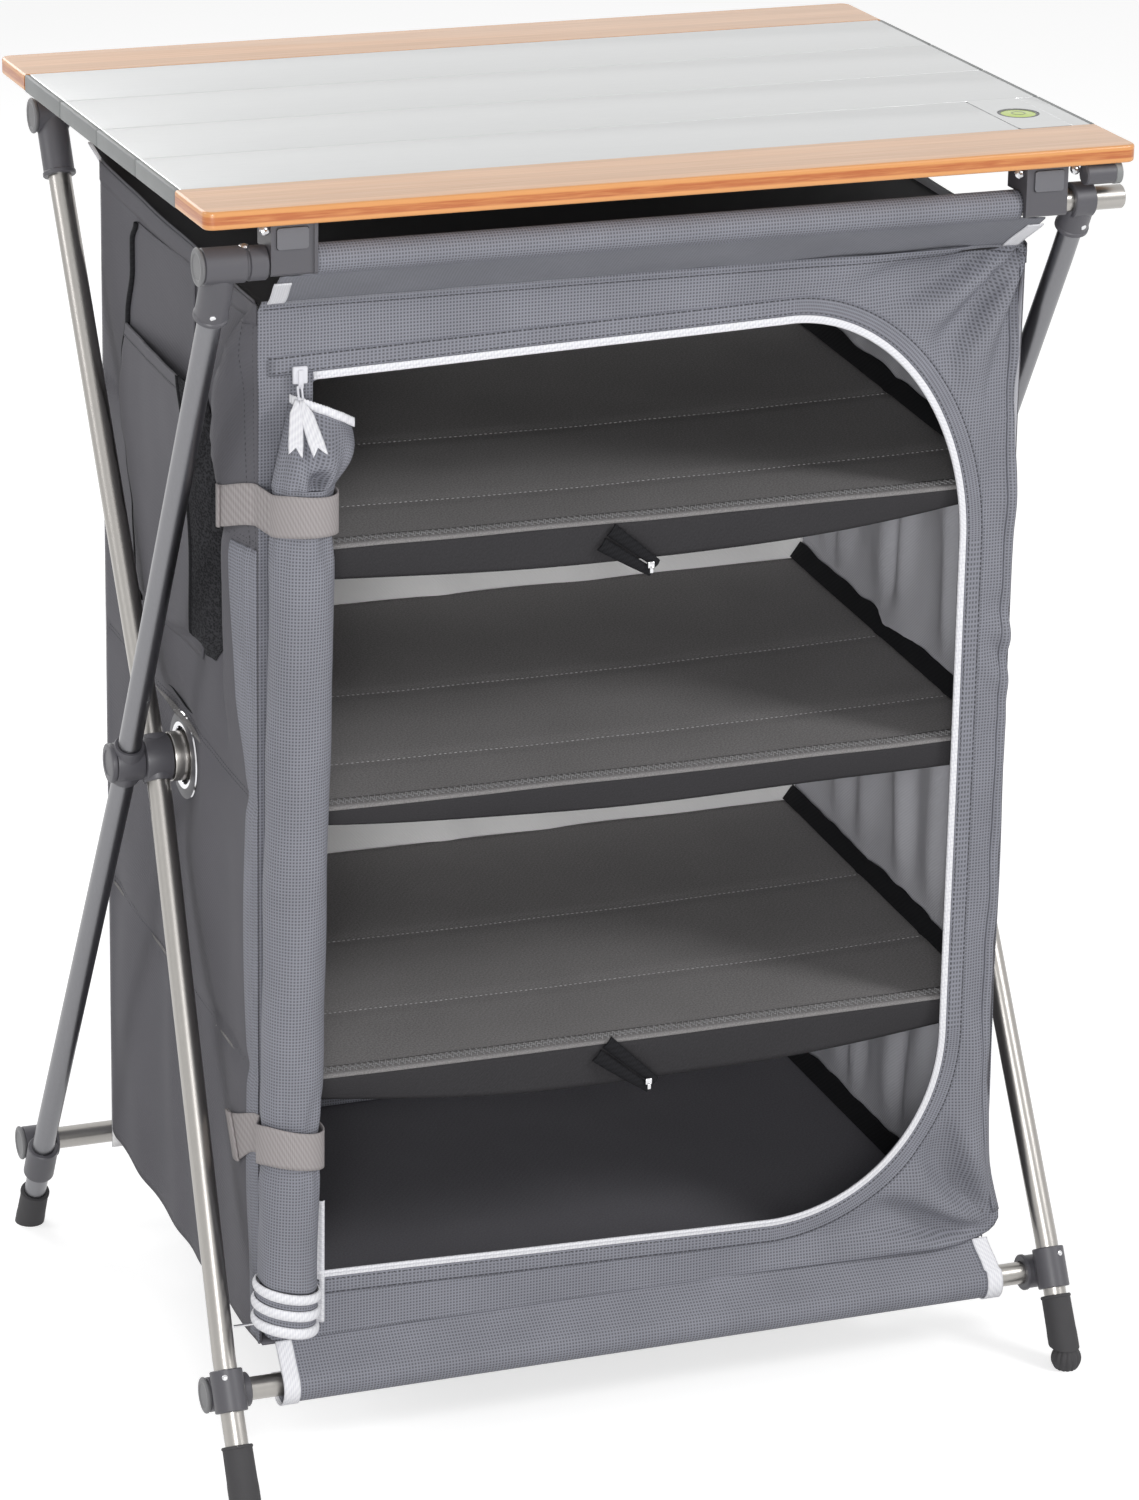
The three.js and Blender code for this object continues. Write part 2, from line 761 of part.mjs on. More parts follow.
/** The ribbed levelling knob: a cut ball that stands level, with a stud along the leg. */
function makeKnob(side, legX, tilt) {
  const middle = knobHeight / 2;
  const steps = 3 * smallArcSteps;
  const half = Math.asin(middle / knobRadius);
  const profile = [[0, -middle]];
  for (let i = 0; i <= steps; i++) {
    const angle = -half + (2 * half * i) / steps;
    profile.push([knobRadius * Math.cos(angle), knobRadius * Math.sin(angle)]);
  }
  profile.push([0, middle]);
  let ball = turnedUpright(profile, knobRibs * 2);
  for (let i = 0; i < knobRibs; i++) {
    const angle = (2 * Math.PI * i) / knobRibs;
    const reach = knobRadius + knobRibDepth / 4;
    const place = [reach * Math.cos(angle), reach * Math.sin(angle)];
    const flute = rod([...place, -middle], [...place, middle], knobRibDepth, knobRibDepth, 6);
    ball = ball.subtract(flute);
  }
  const run = -(hubHeight - middle) / Math.cos(lean);
  const leanDegrees = THREE.MathUtils.radToDeg(-tilt * lean);
  const level = ball.rotate([leanDegrees, 0, 0]).translate([side * legX, 0, run]);
  const stud = rod(
    [side * legX, 0, run],
    [side * legX, 0, run + middle + knobStudLength],
    knobStudRadius,
    knobStudRadius,
    smallSides,
  );
  return level.add(stud);
}

/**
 * One crossed frame: a top and a bottom bar on an outer and an inner leg.
 * The tilt is +1 where the top leans to the front, and the outer leg is on the named side.
 */
function makeFrame({ letter, tilt, side, stub, knob }) {
  const frame = new THREE.Group();
  frame.name = `frame_${letter}_group`;
  frame.position.set(0, 0, hubHeight);
  frame.rotation.x = tilt * lean;
  const name = (piece, where) => `${piece}_${letter}_${where > 0 ? "right" : "left"}`;
  const plainBottom = -groundRun + footSole;
  const cutHeight = knob ? knobHeight + fit : 0;
  const outerBottom = -(hubHeight - cutHeight) / Math.cos(lean) + footSole;
  const studRoom = knob ? knobStudLength : 0;
  const inner = -side;

  const outerLeg = makeLeg(side, outerLegX, outerLegX, outerFootX, outerBottom, studRoom);
  const innerLeg = makeLeg(inner, innerLegTopX, innerLegHubX, innerFootX, plainBottom, 0);
  const legMaterial = tilt > 0 ? materials.greyTube : materials.aluminium;
  addPart(frame, name("leg", side), outerLeg, legMaterial);
  addPart(frame, name("leg", inner), innerLeg, legMaterial);

  const innerSleeve = stub ? topInnerSleeve : topInnerCappedSleeve;
  const topInnerEnd = stub ? barStubEnd : innerSleeve[1] - teeEndWall;
  const topBar = makeBar(side, topOuterSleeve[1] - teeEndWall, topInnerEnd, 0, legRise);
  const bottomBar = makeBar(
    side,
    bottomOuterSleeve[1] - teeEndWall,
    bottomInnerSleeve[1] - teeEndWall,
    bottomBarOffset,
    -bottomTeeRun,
  );
  addPart(frame, `top_bar_${letter}`, topBar, materials.aluminium);
  addPart(frame, `bottom_bar_${letter}`, bottomBar, materials.aluminium);

  const outerTop = { capped: true, spacer: topOuterSpacer };
  const innerTop = { capped: !stub, spacer: null };
  const topTees = [
    [side, makeTopTee(side, outerLegX, topOuterSleeve, outerTop)],
    [inner, makeTopTee(inner, innerLegTopX, innerSleeve, innerTop)],
  ];
  const bottomTees = [
    [side, makeBottomTee(side, outerFootX, bottomOuterSleeve, true)],
    [inner, makeBottomTee(inner, innerFootX, bottomInnerSleeve, false)],
  ];
  const sleeves = [
    [side, makeHubSleeve(side, hubOuterSleeve, outerLegX, hubOuterRadius)],
    [inner, makeHubSleeve(inner, hubInnerSleeve, innerLegHubX, hubInnerRadius)],
  ];
  const feet = [
    [side, makeFoot(side, outerFootX, tilt, cutHeight, outerBottom, knob)],
    [inner, makeFoot(inner, innerFootX, tilt, 0, plainBottom, false)],
  ];
  for (const [where, shape] of topTees) {
    addPart(frame, name("top_tee", where), shape, materials.blackPlastic);
  }
  for (const [where, shape] of bottomTees) {
    addPart(frame, name("bottom_tee", where), shape, materials.blackPlastic);
  }
  for (const [where, shape] of sleeves) {
    addPart(frame, name("hub_sleeve", where), shape, materials.blackPlastic);
  }
  for (const [where, shape] of feet) {
    addPart(frame, name("foot", where), shape, materials.rubber);
  }
  if (knob) {
    addPart(frame, "levelling_knob", makeKnob(side, outerFootX, tilt), materials.blackPlastic);
  }
  return frame;
}

// Hub

function makeCentreCrossbar() {
  const end = hubInnerSleeve[0] - fit;
  const half = [
    [tubeRadius, hubCollarStart],
    [hubCollarRadius - hubCollarBevel, hubCollarStart],
    [hubCollarRadius, hubCollarStart + hubCollarBevel],
    [hubCollarRadius, end - hubCollarBevel],
    [hubCollarRadius - hubCollarBevel, end],
    [0, end],
  ];
  const mirrored = half.map(([radius, x]) => [radius, -x]).reverse();
  const bar = turnedAcross([...mirrored, ...half]);
  const bores = [-1, 1].map((side) =>
    rodAcross(side, [axleInnerEnd - fit, end + overrun], 0, 0, axleBore, smallSides * 2),
  );
  return bar.subtract(bores[0]).subtract(bores[1]);
}

function makeAxle(side) {
  const capStart = hubOuterSleeve[1] + fit;
  const capEnd = capStart + axleCapThickness;
  const bolt = turnedAcross([
    [0, axleInnerEnd],
    [axleRadius, axleInnerEnd],
    [axleRadius, capStart],
    [hubOuterRadius, capStart],
    [hubOuterRadius, capEnd - hubSleeveBevel],
    [hubOuterRadius - hubSleeveBevel, capEnd],
    [0, capEnd],
  ]);
  return side > 0 ? bolt : bolt.rotate([0, 0, halfTurn]);
}

function makeEyelet(side) {
  const outer = cabinetHalfWidth + fit;
  const inner = sideInnerX - fit;
  const barrel = eyeletBore + eyeletBarrel;
  const ring = turnedAcross([
    [eyeletBore, inner - eyeletFlange],
    [eyeletWasherRadius, inner - eyeletFlange],
    [eyeletWasherRadius, inner],
    [barrel, inner],
    [barrel, outer],
    [eyeletRadius, outer],
    [eyeletRadius, outer + eyeletFlange / 2],
    [eyeletRadius - eyeletFlange, outer + eyeletFlange],
    [eyeletBore + eyeletFlange, outer + eyeletFlange],
    [eyeletBore, outer + eyeletFlange / 2],
    [eyeletBore, inner - eyeletFlange],
  ]);
  return side > 0 ? ring : ring.rotate([0, 0, halfTurn]);
}

// Textile cabinet

/** The outline of the door opening, grown outwards by a margin. */
function openingShape(margin) {
  const [topA, topB] = openingTopCorner.map((size) => size + margin);
  const [lowA, lowB] = openingBottomCorner.map((size) => size + margin);
  const right = openingRight + margin;
  const top = openingTop + margin;
  const bottom = openingBottom - margin;
  const left = openingLeft - margin;
  const shape = new THREE.Shape();
  shape.moveTo(left, openingBottomLeft - margin);
  shape.lineTo(right - lowA, bottom);
  shape.absellipse(right - lowA, bottom + lowB, lowA, lowB, -Math.PI / 2, 0);
  shape.absellipse(right - topA, top - topB, topA, topB, 0, Math.PI / 2);
  shape.lineTo(left, openingTopLeft + margin);
  shape.closePath();
  return shape;
}

function makeSleeve(halfWidth, y, z, inner, outer) {
  const across = [-halfWidth, halfWidth];
  const bore = [-halfWidth - overrun, halfWidth + overrun];
  return rodAcross(1, across, y, z, outer).subtract(rodAcross(1, bore, y, z, inner));
}

function frontPanelOutline() {
  const half = cabinetHalfWidth - fit;
  const shape = new THREE.Shape();
  const corner = cabinetCornerRadius;
  const bulge = half + cabinetBulge;
  shape.moveTo(-half, cabinetShoulder);
  shape.lineTo(-half, cabinetBottom + corner);
  shape.quadraticCurveTo(-half, cabinetBottom, -half + corner, cabinetBottom);
  shape.lineTo(bulge - 2 * corner, cabinetBottom);
  shape.quadraticCurveTo(bulge, cabinetBottom, bulge, cabinetBottom + corner);
  shape.quadraticCurveTo(
    half,
    cabinetBottom + cabinetBulgeHeight / 2,
    half,
    cabinetBottom + cabinetBulgeHeight,
  );
  shape.lineTo(half, cabinetShoulder);
  shape.closePath();
  return shape;
}

function makeFrontPanel() {
  const panel = carriedAlongY(frontPanelOutline(), panelFrontFace, panelBackFace);
  const opening = carriedAlongY(
    openingShape(0),
    panelFrontFace - overrun,
    panelBackFace + overrun,
  );
  const sleeveOuter = boreRadius + sleeveThickness;
  const upper = clothStrip(
    [cabinetFront, cabinetShoulder - clothThickness],
    [-topBarReach + tubeRadius / 2, topBarHeight - boreRadius - clothThickness / 2],
    stripHalfWidth,
  );
  const lower = clothStrip(
    [cabinetFront, cabinetBottom + clothThickness],
    [bottomBarY + tunnelRadius / 2, bottomBarZ + tunnelRadius / 2],
    tunnelHalfWidth,
  );
  const topSleeve = makeSleeve(
    stripHalfWidth,
    -topBarReach,
    topBarHeight,
    boreRadius,
    sleeveOuter,
  );
  const tunnel = makeSleeve(
    tunnelHalfWidth,
    bottomBarY,
    bottomBarZ,
    tunnelRadius - clothThickness,
    tunnelRadius,
  );
  const barRoom = rodAcross(
    1,
    [-cabinetHalfWidth, cabinetHalfWidth],
    -topBarReach,
    topBarHeight,
    boreRadius,
  );
  const tunnelRoom = rodAcross(
    1,
    [-cabinetHalfWidth, cabinetHalfWidth],
    bottomBarY,
    bottomBarZ,
    tunnelRadius - clothThickness,
  );
  return joined([panel.subtract(opening), upper, lower])
    .subtract(barRoom)
    .subtract(tunnelRoom)
    .add(topSleeve)
    .add(tunnel);
}

function makeBackPanel() {
  const half = cabinetHalfWidth - fit;
  const sheet = block(
    [-half, backInnerFace, cabinetBottom],
    [half, cabinetBack + clothThickness / 2, cabinetShoulder],
  );
  const upper = clothStrip(
    [cabinetBack, cabinetShoulder - clothThickness],
    [topBarReach - tubeRadius / 2, topBarHeight - boreRadius - clothThickness / 2],
    stripHalfWidth,
  );
  const lower = clothStrip(
    [cabinetBack, cabinetBottom + clothThickness],
    [rearBarY - tunnelRadius / 2, rearBarZ + tunnelRadius / 2],
    tunnelHalfWidth,
  );
  const topSleeve = makeSleeve(
    stripHalfWidth,
    topBarReach,
    topBarHeight,
    boreRadius,
    boreRadius + sleeveThickness,
  );
  const tunnel = makeSleeve(
    tunnelHalfWidth,
    rearBarY,
    rearBarZ,
    tunnelRadius - clothThickness,
    tunnelRadius,
  );
  const across = [-cabinetHalfWidth, cabinetHalfWidth];
  const barRoom = rodAcross(1, across, topBarReach, topBarHeight, boreRadius);
  const tunnelRoom = rodAcross(1, across, rearBarY, rearBarZ, tunnelRadius - clothThickness);
  return joined([sheet, upper, lower])
    .subtract(barRoom)
    .subtract(tunnelRoom)
    .add(topSleeve)
    .add(tunnel);
}

function makeSideWall(side) {
  const front = panelBackFace + fit;
  const back = backInnerFace - fit;
  const corners = [
    [front, cabinetBottom - sideBottomDrop],
    [back, cabinetBottom - sideBottomDrop + sideBottomRise],
    [back, cabinetShoulder + sideTopRise],
    [front, cabinetShoulder],
  ];
  const low = side > 0 ? sideInnerX : -cabinetHalfWidth;
  const wall = carriedAlongX(outline(corners), low, low + clothThickness);
  const hole = [sideInnerX - overrun, cabinetHalfWidth + overrun];
  const holeRadius = eyeletBore + eyeletBarrel + fit;
  return wall.subtract(rodAcross(side, hole, 0, hubHeight, holeRadius));
}

function makeShelf(frontHeight) {
  const half = sideInnerX - fit;
  const front = panelBackFace + shelfFrontInset;
  const back = backInnerFace - fit;
  const low = frontHeight - flapDrop;
  const section = outline([
    [front, low],
    [front + flapThickness, low],
    [front + flapThickness, frontHeight - shelfThickness],
    [back, frontHeight + shelfRise - shelfThickness],
    [back, frontHeight + shelfRise],
    [front, frontHeight],
  ]);
  return carriedAlongX(section, -half, half);
}

/** A level sheet of cloth inside the cabinet, from a height downwards. */
function makeLevelPanel(top, thickness) {
  const half = sideInnerX - fit;
  return block(
    [-half, panelBackFace + fit, top - thickness],
    [half, backInnerFace - fit, top],
  );
}

function rollAxis(z) {
  const share = (z - rollBottom) / (rollTop - rollBottom);
  return rollBottomX + share * (rollTopX - rollBottomX);
}

/** The section of a cloth rolled up from its free edge, seen from above, about the origin. */
function rolledSection() {
  const steps = rollTurns * rollStepsPerTurn;
  const shape = new THREE.Shape();
  const outer = [];
  const inner = [];
  for (let i = 0; i <= steps; i++) {
    const turned = i / rollStepsPerTurn;
    const angle = 2 * Math.PI * turned;
    const radius = rollRadius - rollPitch * turned;
    outer.push(new THREE.Vector2(radius * Math.cos(angle), radius * Math.sin(angle)));
    const under = radius - rollClothThickness;
    inner.push(new THREE.Vector2(under * Math.cos(angle), under * Math.sin(angle)));
  }
  return shape.setFromPoints([...outer, ...inner.reverse()]);
}

/** The rolled door: the spiral section carried up through the stations, drawn in at the top. */
function makeDoorRoll() {
  const behind = panelFrontFace - fit;
  const stations = [rollBottom, rollTop].map((z) => ({
    x: rollAxis(z),
    y: behind - rollRadius,
    z,
    radius: rollRadius,
  }));
  rollFlareRises.forEach((rise, i) => {
    const radius = rollFlareRadii[i];
    const x = rollFlareInsets[i] - cabinetHalfWidth;
    stations.push({ x, y: behind - radius, z: rollTop + rise, radius });
  });
  const last = stations.length - 1;
  const geometry = new THREE.ExtrudeGeometry(rolledSection(), {
    depth: last,
    steps: last,
    bevelEnabled: false,
  });
  const places = geometry.getAttribute("position");
  for (let i = 0; i < places.count; i++) {
    const station = stations[Math.round(places.getZ(i))];
    const share = station.radius / rollRadius;
    const x = station.x + share * places.getX(i);
    const y = station.y + share * places.getY(i);
    places.setXYZ(i, x, y, station.z);
  }
  return solid(geometry);
}

/** A strap from the side wall round the front corner and round the roll to the panel. */
function makeStrap(height) {
  const behind = panelFrontFace - fit;
  const centreX = rollAxis(height);
  const centreY = behind - rollRadius;
  const low = height - strapWidth / 2;
  const high = height + strapWidth / 2;
  const slope = Math.abs(rollAxis(high) - rollAxis(low));
  const wrap = (grow, spare) => {
    const points = [];
    const radius = rollRadius + fit + slope / 2 + grow;
    const wallX = -cabinetHalfWidth - fit - grow;
    const levels = [low - spare, high + spare];
    for (const z of levels) {
      for (let i = 0; i < roundSides; i++) {
        const angle = (2 * Math.PI * i) / roundSides;
        const x = centreX + radius * Math.cos(angle);
        points.push(new THREE.Vector3(x, centreY + radius * Math.sin(angle), z));
      }
      points.push(new THREE.Vector3(wallX, strapSideEnd + spare, z));
      points.push(new THREE.Vector3(wallX, cabinetFront + strapCornerBack, z));
      points.push(new THREE.Vector3(-cabinetHalfWidth + cabinetCornerRadius, strapSideEnd + spare, z));
    }
    return solid(new ConvexGeometry(points));
  };
  const cabinetRoom = block(
    [-cabinetHalfWidth - fit, behind, low - overrun],
    [0, 0, high + overrun],
  );
  return wrap(strapThickness, 0).subtract(wrap(0, overrun)).subtract(cabinetRoom);
}

function makeZipperTape() {
  const back = panelFrontFace - fit;
  const front = back - tapeThickness;
  const ring = carriedAlongY(openingShape(tapeWidth), front, back).subtract(
    carriedAlongY(openingShape(0), front - overrun, back + overrun),
  );
  const doorSide = block(
    [2 * openingLeft, front - overrun, 0],
    [tapeLeftEnd, back + overrun, openingTopLeft - tapeWidth],
  );
  const slider = block(
    [sliderX - sliderWidth / 2, back - sliderThickness, sliderZ - sliderHeight / 2],
    [sliderX + sliderWidth / 2, back, sliderZ + sliderHeight / 2],
  );
  const lowerEnd = block(
    [2 * openingLeft, front - overrun, 0],
    [tapeLeftEnd, back + overrun, openingBottomLeft + tapeWidth],
  );
  return ring.subtract(doorSide).subtract(lowerEnd).add(slider);
}

function makeZipPull() {
  const back = panelFrontFace - 2 * fit;
  const halfWidth = pullWidth / 2;
  const shape = outline([
    [pullX + halfWidth / 2, pullTop],
    [pullX - halfWidth / 2, pullTop],
    [pullX - halfWidth, pullTop - pullLength / 3],
    [pullX - pullTipWidth, pullTop - pullLength],
    [pullX + halfWidth, pullTop - pullLength / 3],
  ]);
  return carriedAlongY(shape, back - pullThickness, back);
}

/** The pocket on the left wall: a shallow wedge, deepest at its front gusset, open on top. */
function makeSidePocket() {
  const wall = -cabinetHalfWidth - fit;
  const slope = (pocketFrontDepth - pocketRearDepth) / (pocketRear - pocketFront);
  const outer = outline([
    [wall, pocketFront],
    [wall, pocketRear],
    [wall - pocketRearDepth, pocketRear],
    [wall - pocketFrontDepth + slope * pocketGussetWidth, pocketFront + pocketGussetWidth],
    [wall - pocketFrontDepth + slope * pocketGussetWidth, pocketFront],
  ]);
  const rearRoom = pocketRear - 3 * pocketWall;
  const inner = outline([
    [wall - pocketWall, pocketFront + pocketWall],
    [wall - pocketWall, rearRoom],
    [wall - pocketRearDepth + pocketWall, rearRoom],
    [
      wall - pocketFrontDepth + slope * pocketGussetWidth + pocketWall,
      pocketFront + pocketGussetWidth,
    ],
    [wall - pocketFrontDepth + slope * pocketGussetWidth + pocketWall, pocketFront + pocketWall],
  ]);
  return carriedAlongZ(outer, pocketBottom, pocketTop).subtract(
    carriedAlongZ(inner, pocketBottom + pocketWall, pocketTop + overrun),
  );
}

// Groups

function buildTable() {
  const table = new THREE.Group();
  table.name = "table_group";
  for (let i = 0; i < slatCount; i++) {
    addPart(table, `slat_${i + 1}`, makeSlat(i), materials.aluminium);
  }
  addPart(table, "bubble_level", makeLevel(), materials.levelVial);
  const plank = makePlank();
  const clip = makeClip();
  const button = makeButton();
  const across = clip.mirror([1, 0, 0]);
  const buttonAcross = button.mirror([1, 0, 0]);
  const ends = [
    ["front", 0],
    ["rear", halfTurn],
  ];
  for (const [end, turn] of ends) {
    const [right, left] = turn ? [across, clip] : [clip, across];
    const [rightButton, leftButton] = turn ? [buttonAcross, button] : [button, buttonAcross];
    addPart(table, `plank_${end}`, plank.rotate([0, 0, turn]), materials.bamboo);
    addPart(table, `clip_${end}_right`, right.rotate([0, 0, turn]), materials.blackPlastic);
    addPart(table, `clip_${end}_left`, left.rotate([0, 0, turn]), materials.blackPlastic);
    addPart(table, `button_${end}_right`, rightButton.rotate([0, 0, turn]), materials.blackPlastic);
    addPart(table, `button_${end}_left`, leftButton.rotate([0, 0, turn]), materials.blackPlastic);
  }
  return table;
}

function buildHub() {
  const hub = new THREE.Group();
  hub.name = "hub_group";
  hub.position.set(0, 0, hubHeight);
  addPart(hub, "centre_crossbar", makeCentreCrossbar(), materials.aluminium);
  const sides = [
    ["left", -1],
    ["right", 1],
  ];
  for (const [where, side] of sides) {
    addPart(hub, `hub_axle_${where}`, makeAxle(side), materials.blackPlastic);
    addPart(hub, `eyelet_${where}`, makeEyelet(side), materials.chrome);
  }
  return hub;
}

function buildCabinet() {
  const cabinet = new THREE.Group();
  cabinet.name = "cabinet_group";
  addPart(cabinet, "front_panel", makeFrontPanel(), materials.greyCloth);
  addPart(cabinet, "back_panel", makeBackPanel(), materials.greyCloth);
  addPart(cabinet, "side_wall_left", makeSideWall(-1), materials.greyCloth);
  addPart(cabinet, "side_wall_right", makeSideWall(1), materials.greyCloth);
  const topSheet = makeLevelPanel(cabinetShoulder - topPanelDrop, clothThickness);
  addPart(cabinet, "top_panel", topSheet, materials.feltCloth);
  const floorTop = cabinetBottom + floorThickness;
  addPart(cabinet, "floor_panel", makeLevelPanel(floorTop, floorThickness), materials.feltCloth);
  const shelves = { upper: upperShelf, middle: middleShelf, lower: lowerShelf };
  for (const [place, height] of Object.entries(shelves)) {
    addPart(cabinet, `shelf_${place}`, makeShelf(height), materials.feltCloth);
  }
  addPart(cabinet, "door_roll", makeDoorRoll(), materials.greyCloth);
  addPart(cabinet, "strap_upper", makeStrap(upperStrapHeight), materials.strapCloth);
  addPart(cabinet, "strap_lower", makeStrap(lowerStrapHeight), materials.strapCloth);
  addPart(cabinet, "zipper_tape", makeZipperTape(), materials.whiteTape);
  addPart(cabinet, "zip_pull", makeZipPull(), materials.whiteTape);
  addPart(cabinet, "side_pocket", makeSidePocket(), materials.greyCloth);
  return cabinet;
}

const kitchen = new THREE.Group();
kitchen.name = "camp_kitchen";
kitchen.add(buildTable());
kitchen.add(makeFrame({ letter: "a", tilt: 1, side: -1, stub: true, knob: false }));
kitchen.add(makeFrame({ letter: "b", tilt: -1, side: 1, stub: false, knob: true }));
kitchen.add(buildHub());
kitchen.add(buildCabinet());

export default kitchen;
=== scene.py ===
"""A folding camp kitchen: a roll-up table top on two crossed tube frames, with a zipped cloth cabinet.

Metres, +X right, +Y away from the door, +Z up, origin on the ground under the table.
"""

import logging
import math
from collections.abc import Callable, Sequence
from dataclasses import dataclass
from enum import Enum

import bmesh
import bpy
from mathutils import Matrix, Vector, noise


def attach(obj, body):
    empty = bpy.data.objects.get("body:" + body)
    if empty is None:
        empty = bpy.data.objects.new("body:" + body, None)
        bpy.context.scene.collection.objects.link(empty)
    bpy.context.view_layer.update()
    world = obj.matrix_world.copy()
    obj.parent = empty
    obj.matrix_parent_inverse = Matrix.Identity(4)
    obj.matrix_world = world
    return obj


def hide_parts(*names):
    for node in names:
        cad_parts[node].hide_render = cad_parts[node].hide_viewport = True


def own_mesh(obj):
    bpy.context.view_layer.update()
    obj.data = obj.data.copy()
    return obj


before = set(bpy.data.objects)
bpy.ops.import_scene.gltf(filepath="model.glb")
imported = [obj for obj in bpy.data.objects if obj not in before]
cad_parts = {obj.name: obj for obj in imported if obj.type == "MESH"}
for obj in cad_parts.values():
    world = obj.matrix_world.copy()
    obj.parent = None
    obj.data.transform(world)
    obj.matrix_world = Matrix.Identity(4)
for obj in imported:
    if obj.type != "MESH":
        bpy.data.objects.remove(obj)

log = logging.getLogger("camp_kitchen")
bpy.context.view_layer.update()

Point = tuple[float, float]
SheetPlace = Callable[[float, float], Vector]


class Side(Enum):
    """The two ends of the kitchen, by the sign of X."""

    LEFT = -1
    RIGHT = 1


class Tilt(Enum):
    """Which way the top of a crossed frame leans: +1 is to the front."""

    FRONT = 1
    REAR = -1


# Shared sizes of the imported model
HUB_HEIGHT = 0.555
TOP_BAR_REACH = 0.273
TOP_BAR_HEIGHT = 1.056
LEAN = math.atan2(TOP_BAR_REACH, TOP_BAR_HEIGHT - HUB_HEIGHT)
LEG_RISE = math.hypot(TOP_BAR_REACH, TOP_BAR_HEIGHT - HUB_HEIGHT)
BOTTOM_TEE_RUN = (HUB_HEIGHT - 0.080) / math.cos(LEAN)
BOTTOM_BAR_OFFSET = 0.022
TUBE_RADIUS = 0.010
SHELF_HEIGHTS = {"upper": 0.803, "middle": 0.578, "lower": 0.340}
SHELF_RISE = 0.028
WALL_SEAM_RISE = 0.019


# Small helpers


def linear(code: str) -> tuple[float, float, float, float]:
    """Turns an sRGB hex colour to linear RGBA."""
    shares = [int(code[i : i + 2], 16) / 255 for i in (1, 3, 5)]
    turned_to = [c / 12.92 if c <= 0.04045 else ((c + 0.055) / 1.055) ** 2.4 for c in shares]
    return (*turned_to, 1.0)


def feed(node: bpy.types.Node, inputs: dict) -> None:
    """Sets a node's sockets, each to a value or from the node or socket that feeds it.

    Args:
        node: The node.
        inputs: Socket name or number to a value, or to the node or socket that feeds it.
    """
    for key, value in inputs.items():
        source = value.outputs[0] if isinstance(value, bpy.types.Node) else value
        if isinstance(source, bpy.types.NodeSocket):
            node.id_data.links.new(source, node.inputs[key])
        else:
            node.inputs[key].default_value = source


def add_node(tree: bpy.types.NodeTree, kind: str, inputs: dict | None = None, **settings: object) -> bpy.types.Node:
    """Adds one node to a tree.

    Args:
        tree: The node tree.
        kind: The node's type name, after its "ShaderNode".
        inputs: As for feed.
        settings: Properties of the node itself.

    Returns:
        The new node.
    """
    node = tree.nodes.new(f"ShaderNode{kind}")
    for name, value in settings.items():
        setattr(node, name, value)
    feed(node, inputs or {})
    return node


def smooth(value: float) -> float:
    """A soft step from 0 to 1."""
    held = min(1.0, max(0.0, value))
    return held * held * (3 - 2 * held)


def hump(distance: float, width: float) -> float:
    """A soft bump of height 1 that has fallen to a third at its width."""
    return math.exp(-((distance / width) ** 2))


def uneven(x: float, y: float, seed: float = 0.0) -> float:
    """Smooth unevenness between -1 and 1 that is the same on each run."""
    return noise.noise(Vector((x, y, seed)))


def from_table(table: Sequence[Point], at: float) -> float:
    """Reads a table of (place, value) rows, smoothly between its rows.

    Args:
        table: Rows of place and value.
        at: The place.

    Returns:
        The value there.
    """
    if at <= table[0][0]:
        return table[0][1]
    for (a, low), (b, high) in zip(table, table[1:]):
        if at <= b:
            return low + (high - low) * smooth((at - a) / (b - a))
    return table[-1][1]


# Finishes


@dataclass(frozen=True)
class Finish:
    """A plain surface; its kinds add what the real one shows."""

    name: str
    colour: str
    roughness: float = 0.5
    metallic: float = 0.0
    ior: float = 1.5

    def build(self) -> bpy.types.Material:
        """Returns the material, made once.

        Returns:
            The material.
        """
        made = bpy.data.materials.get(self.name)
        if made:
            return made
        material = bpy.data.materials.new(self.name)
        material.use_nodes = True
        tree = material.node_tree
        tree.nodes.clear()
        plain = {"Base Color": linear(self.colour), "Roughness": self.roughness, "Metallic": self.metallic}
        shader = add_node(tree, "BsdfPrincipled", plain)
        if self.metallic < 0.5:
            shader.inputs["IOR"].default_value = self.ior
        add_node(tree, "OutputMaterial", {"Surface": shader})
        feed(shader, self.dress(tree))
        return material

    def dress(self, tree: bpy.types.NodeTree) -> dict:
        """Draws the pattern, here a fine unevenness only, and returns what feeds the shader's sockets.

        Args:
            tree: The material's node tree.

        Returns:
            Socket names to what feeds them.
        """
        place = add_node(tree, "TexCoord").outputs["Object"]
        grit = add_node(tree, "TexNoise", {"Vector": place, "Scale": 900.0, "Detail": 2.0})
        return {"Normal": add_node(tree, "Bump", {"Height": grit, "Strength": 0.12, "Distance": 0.0003})}


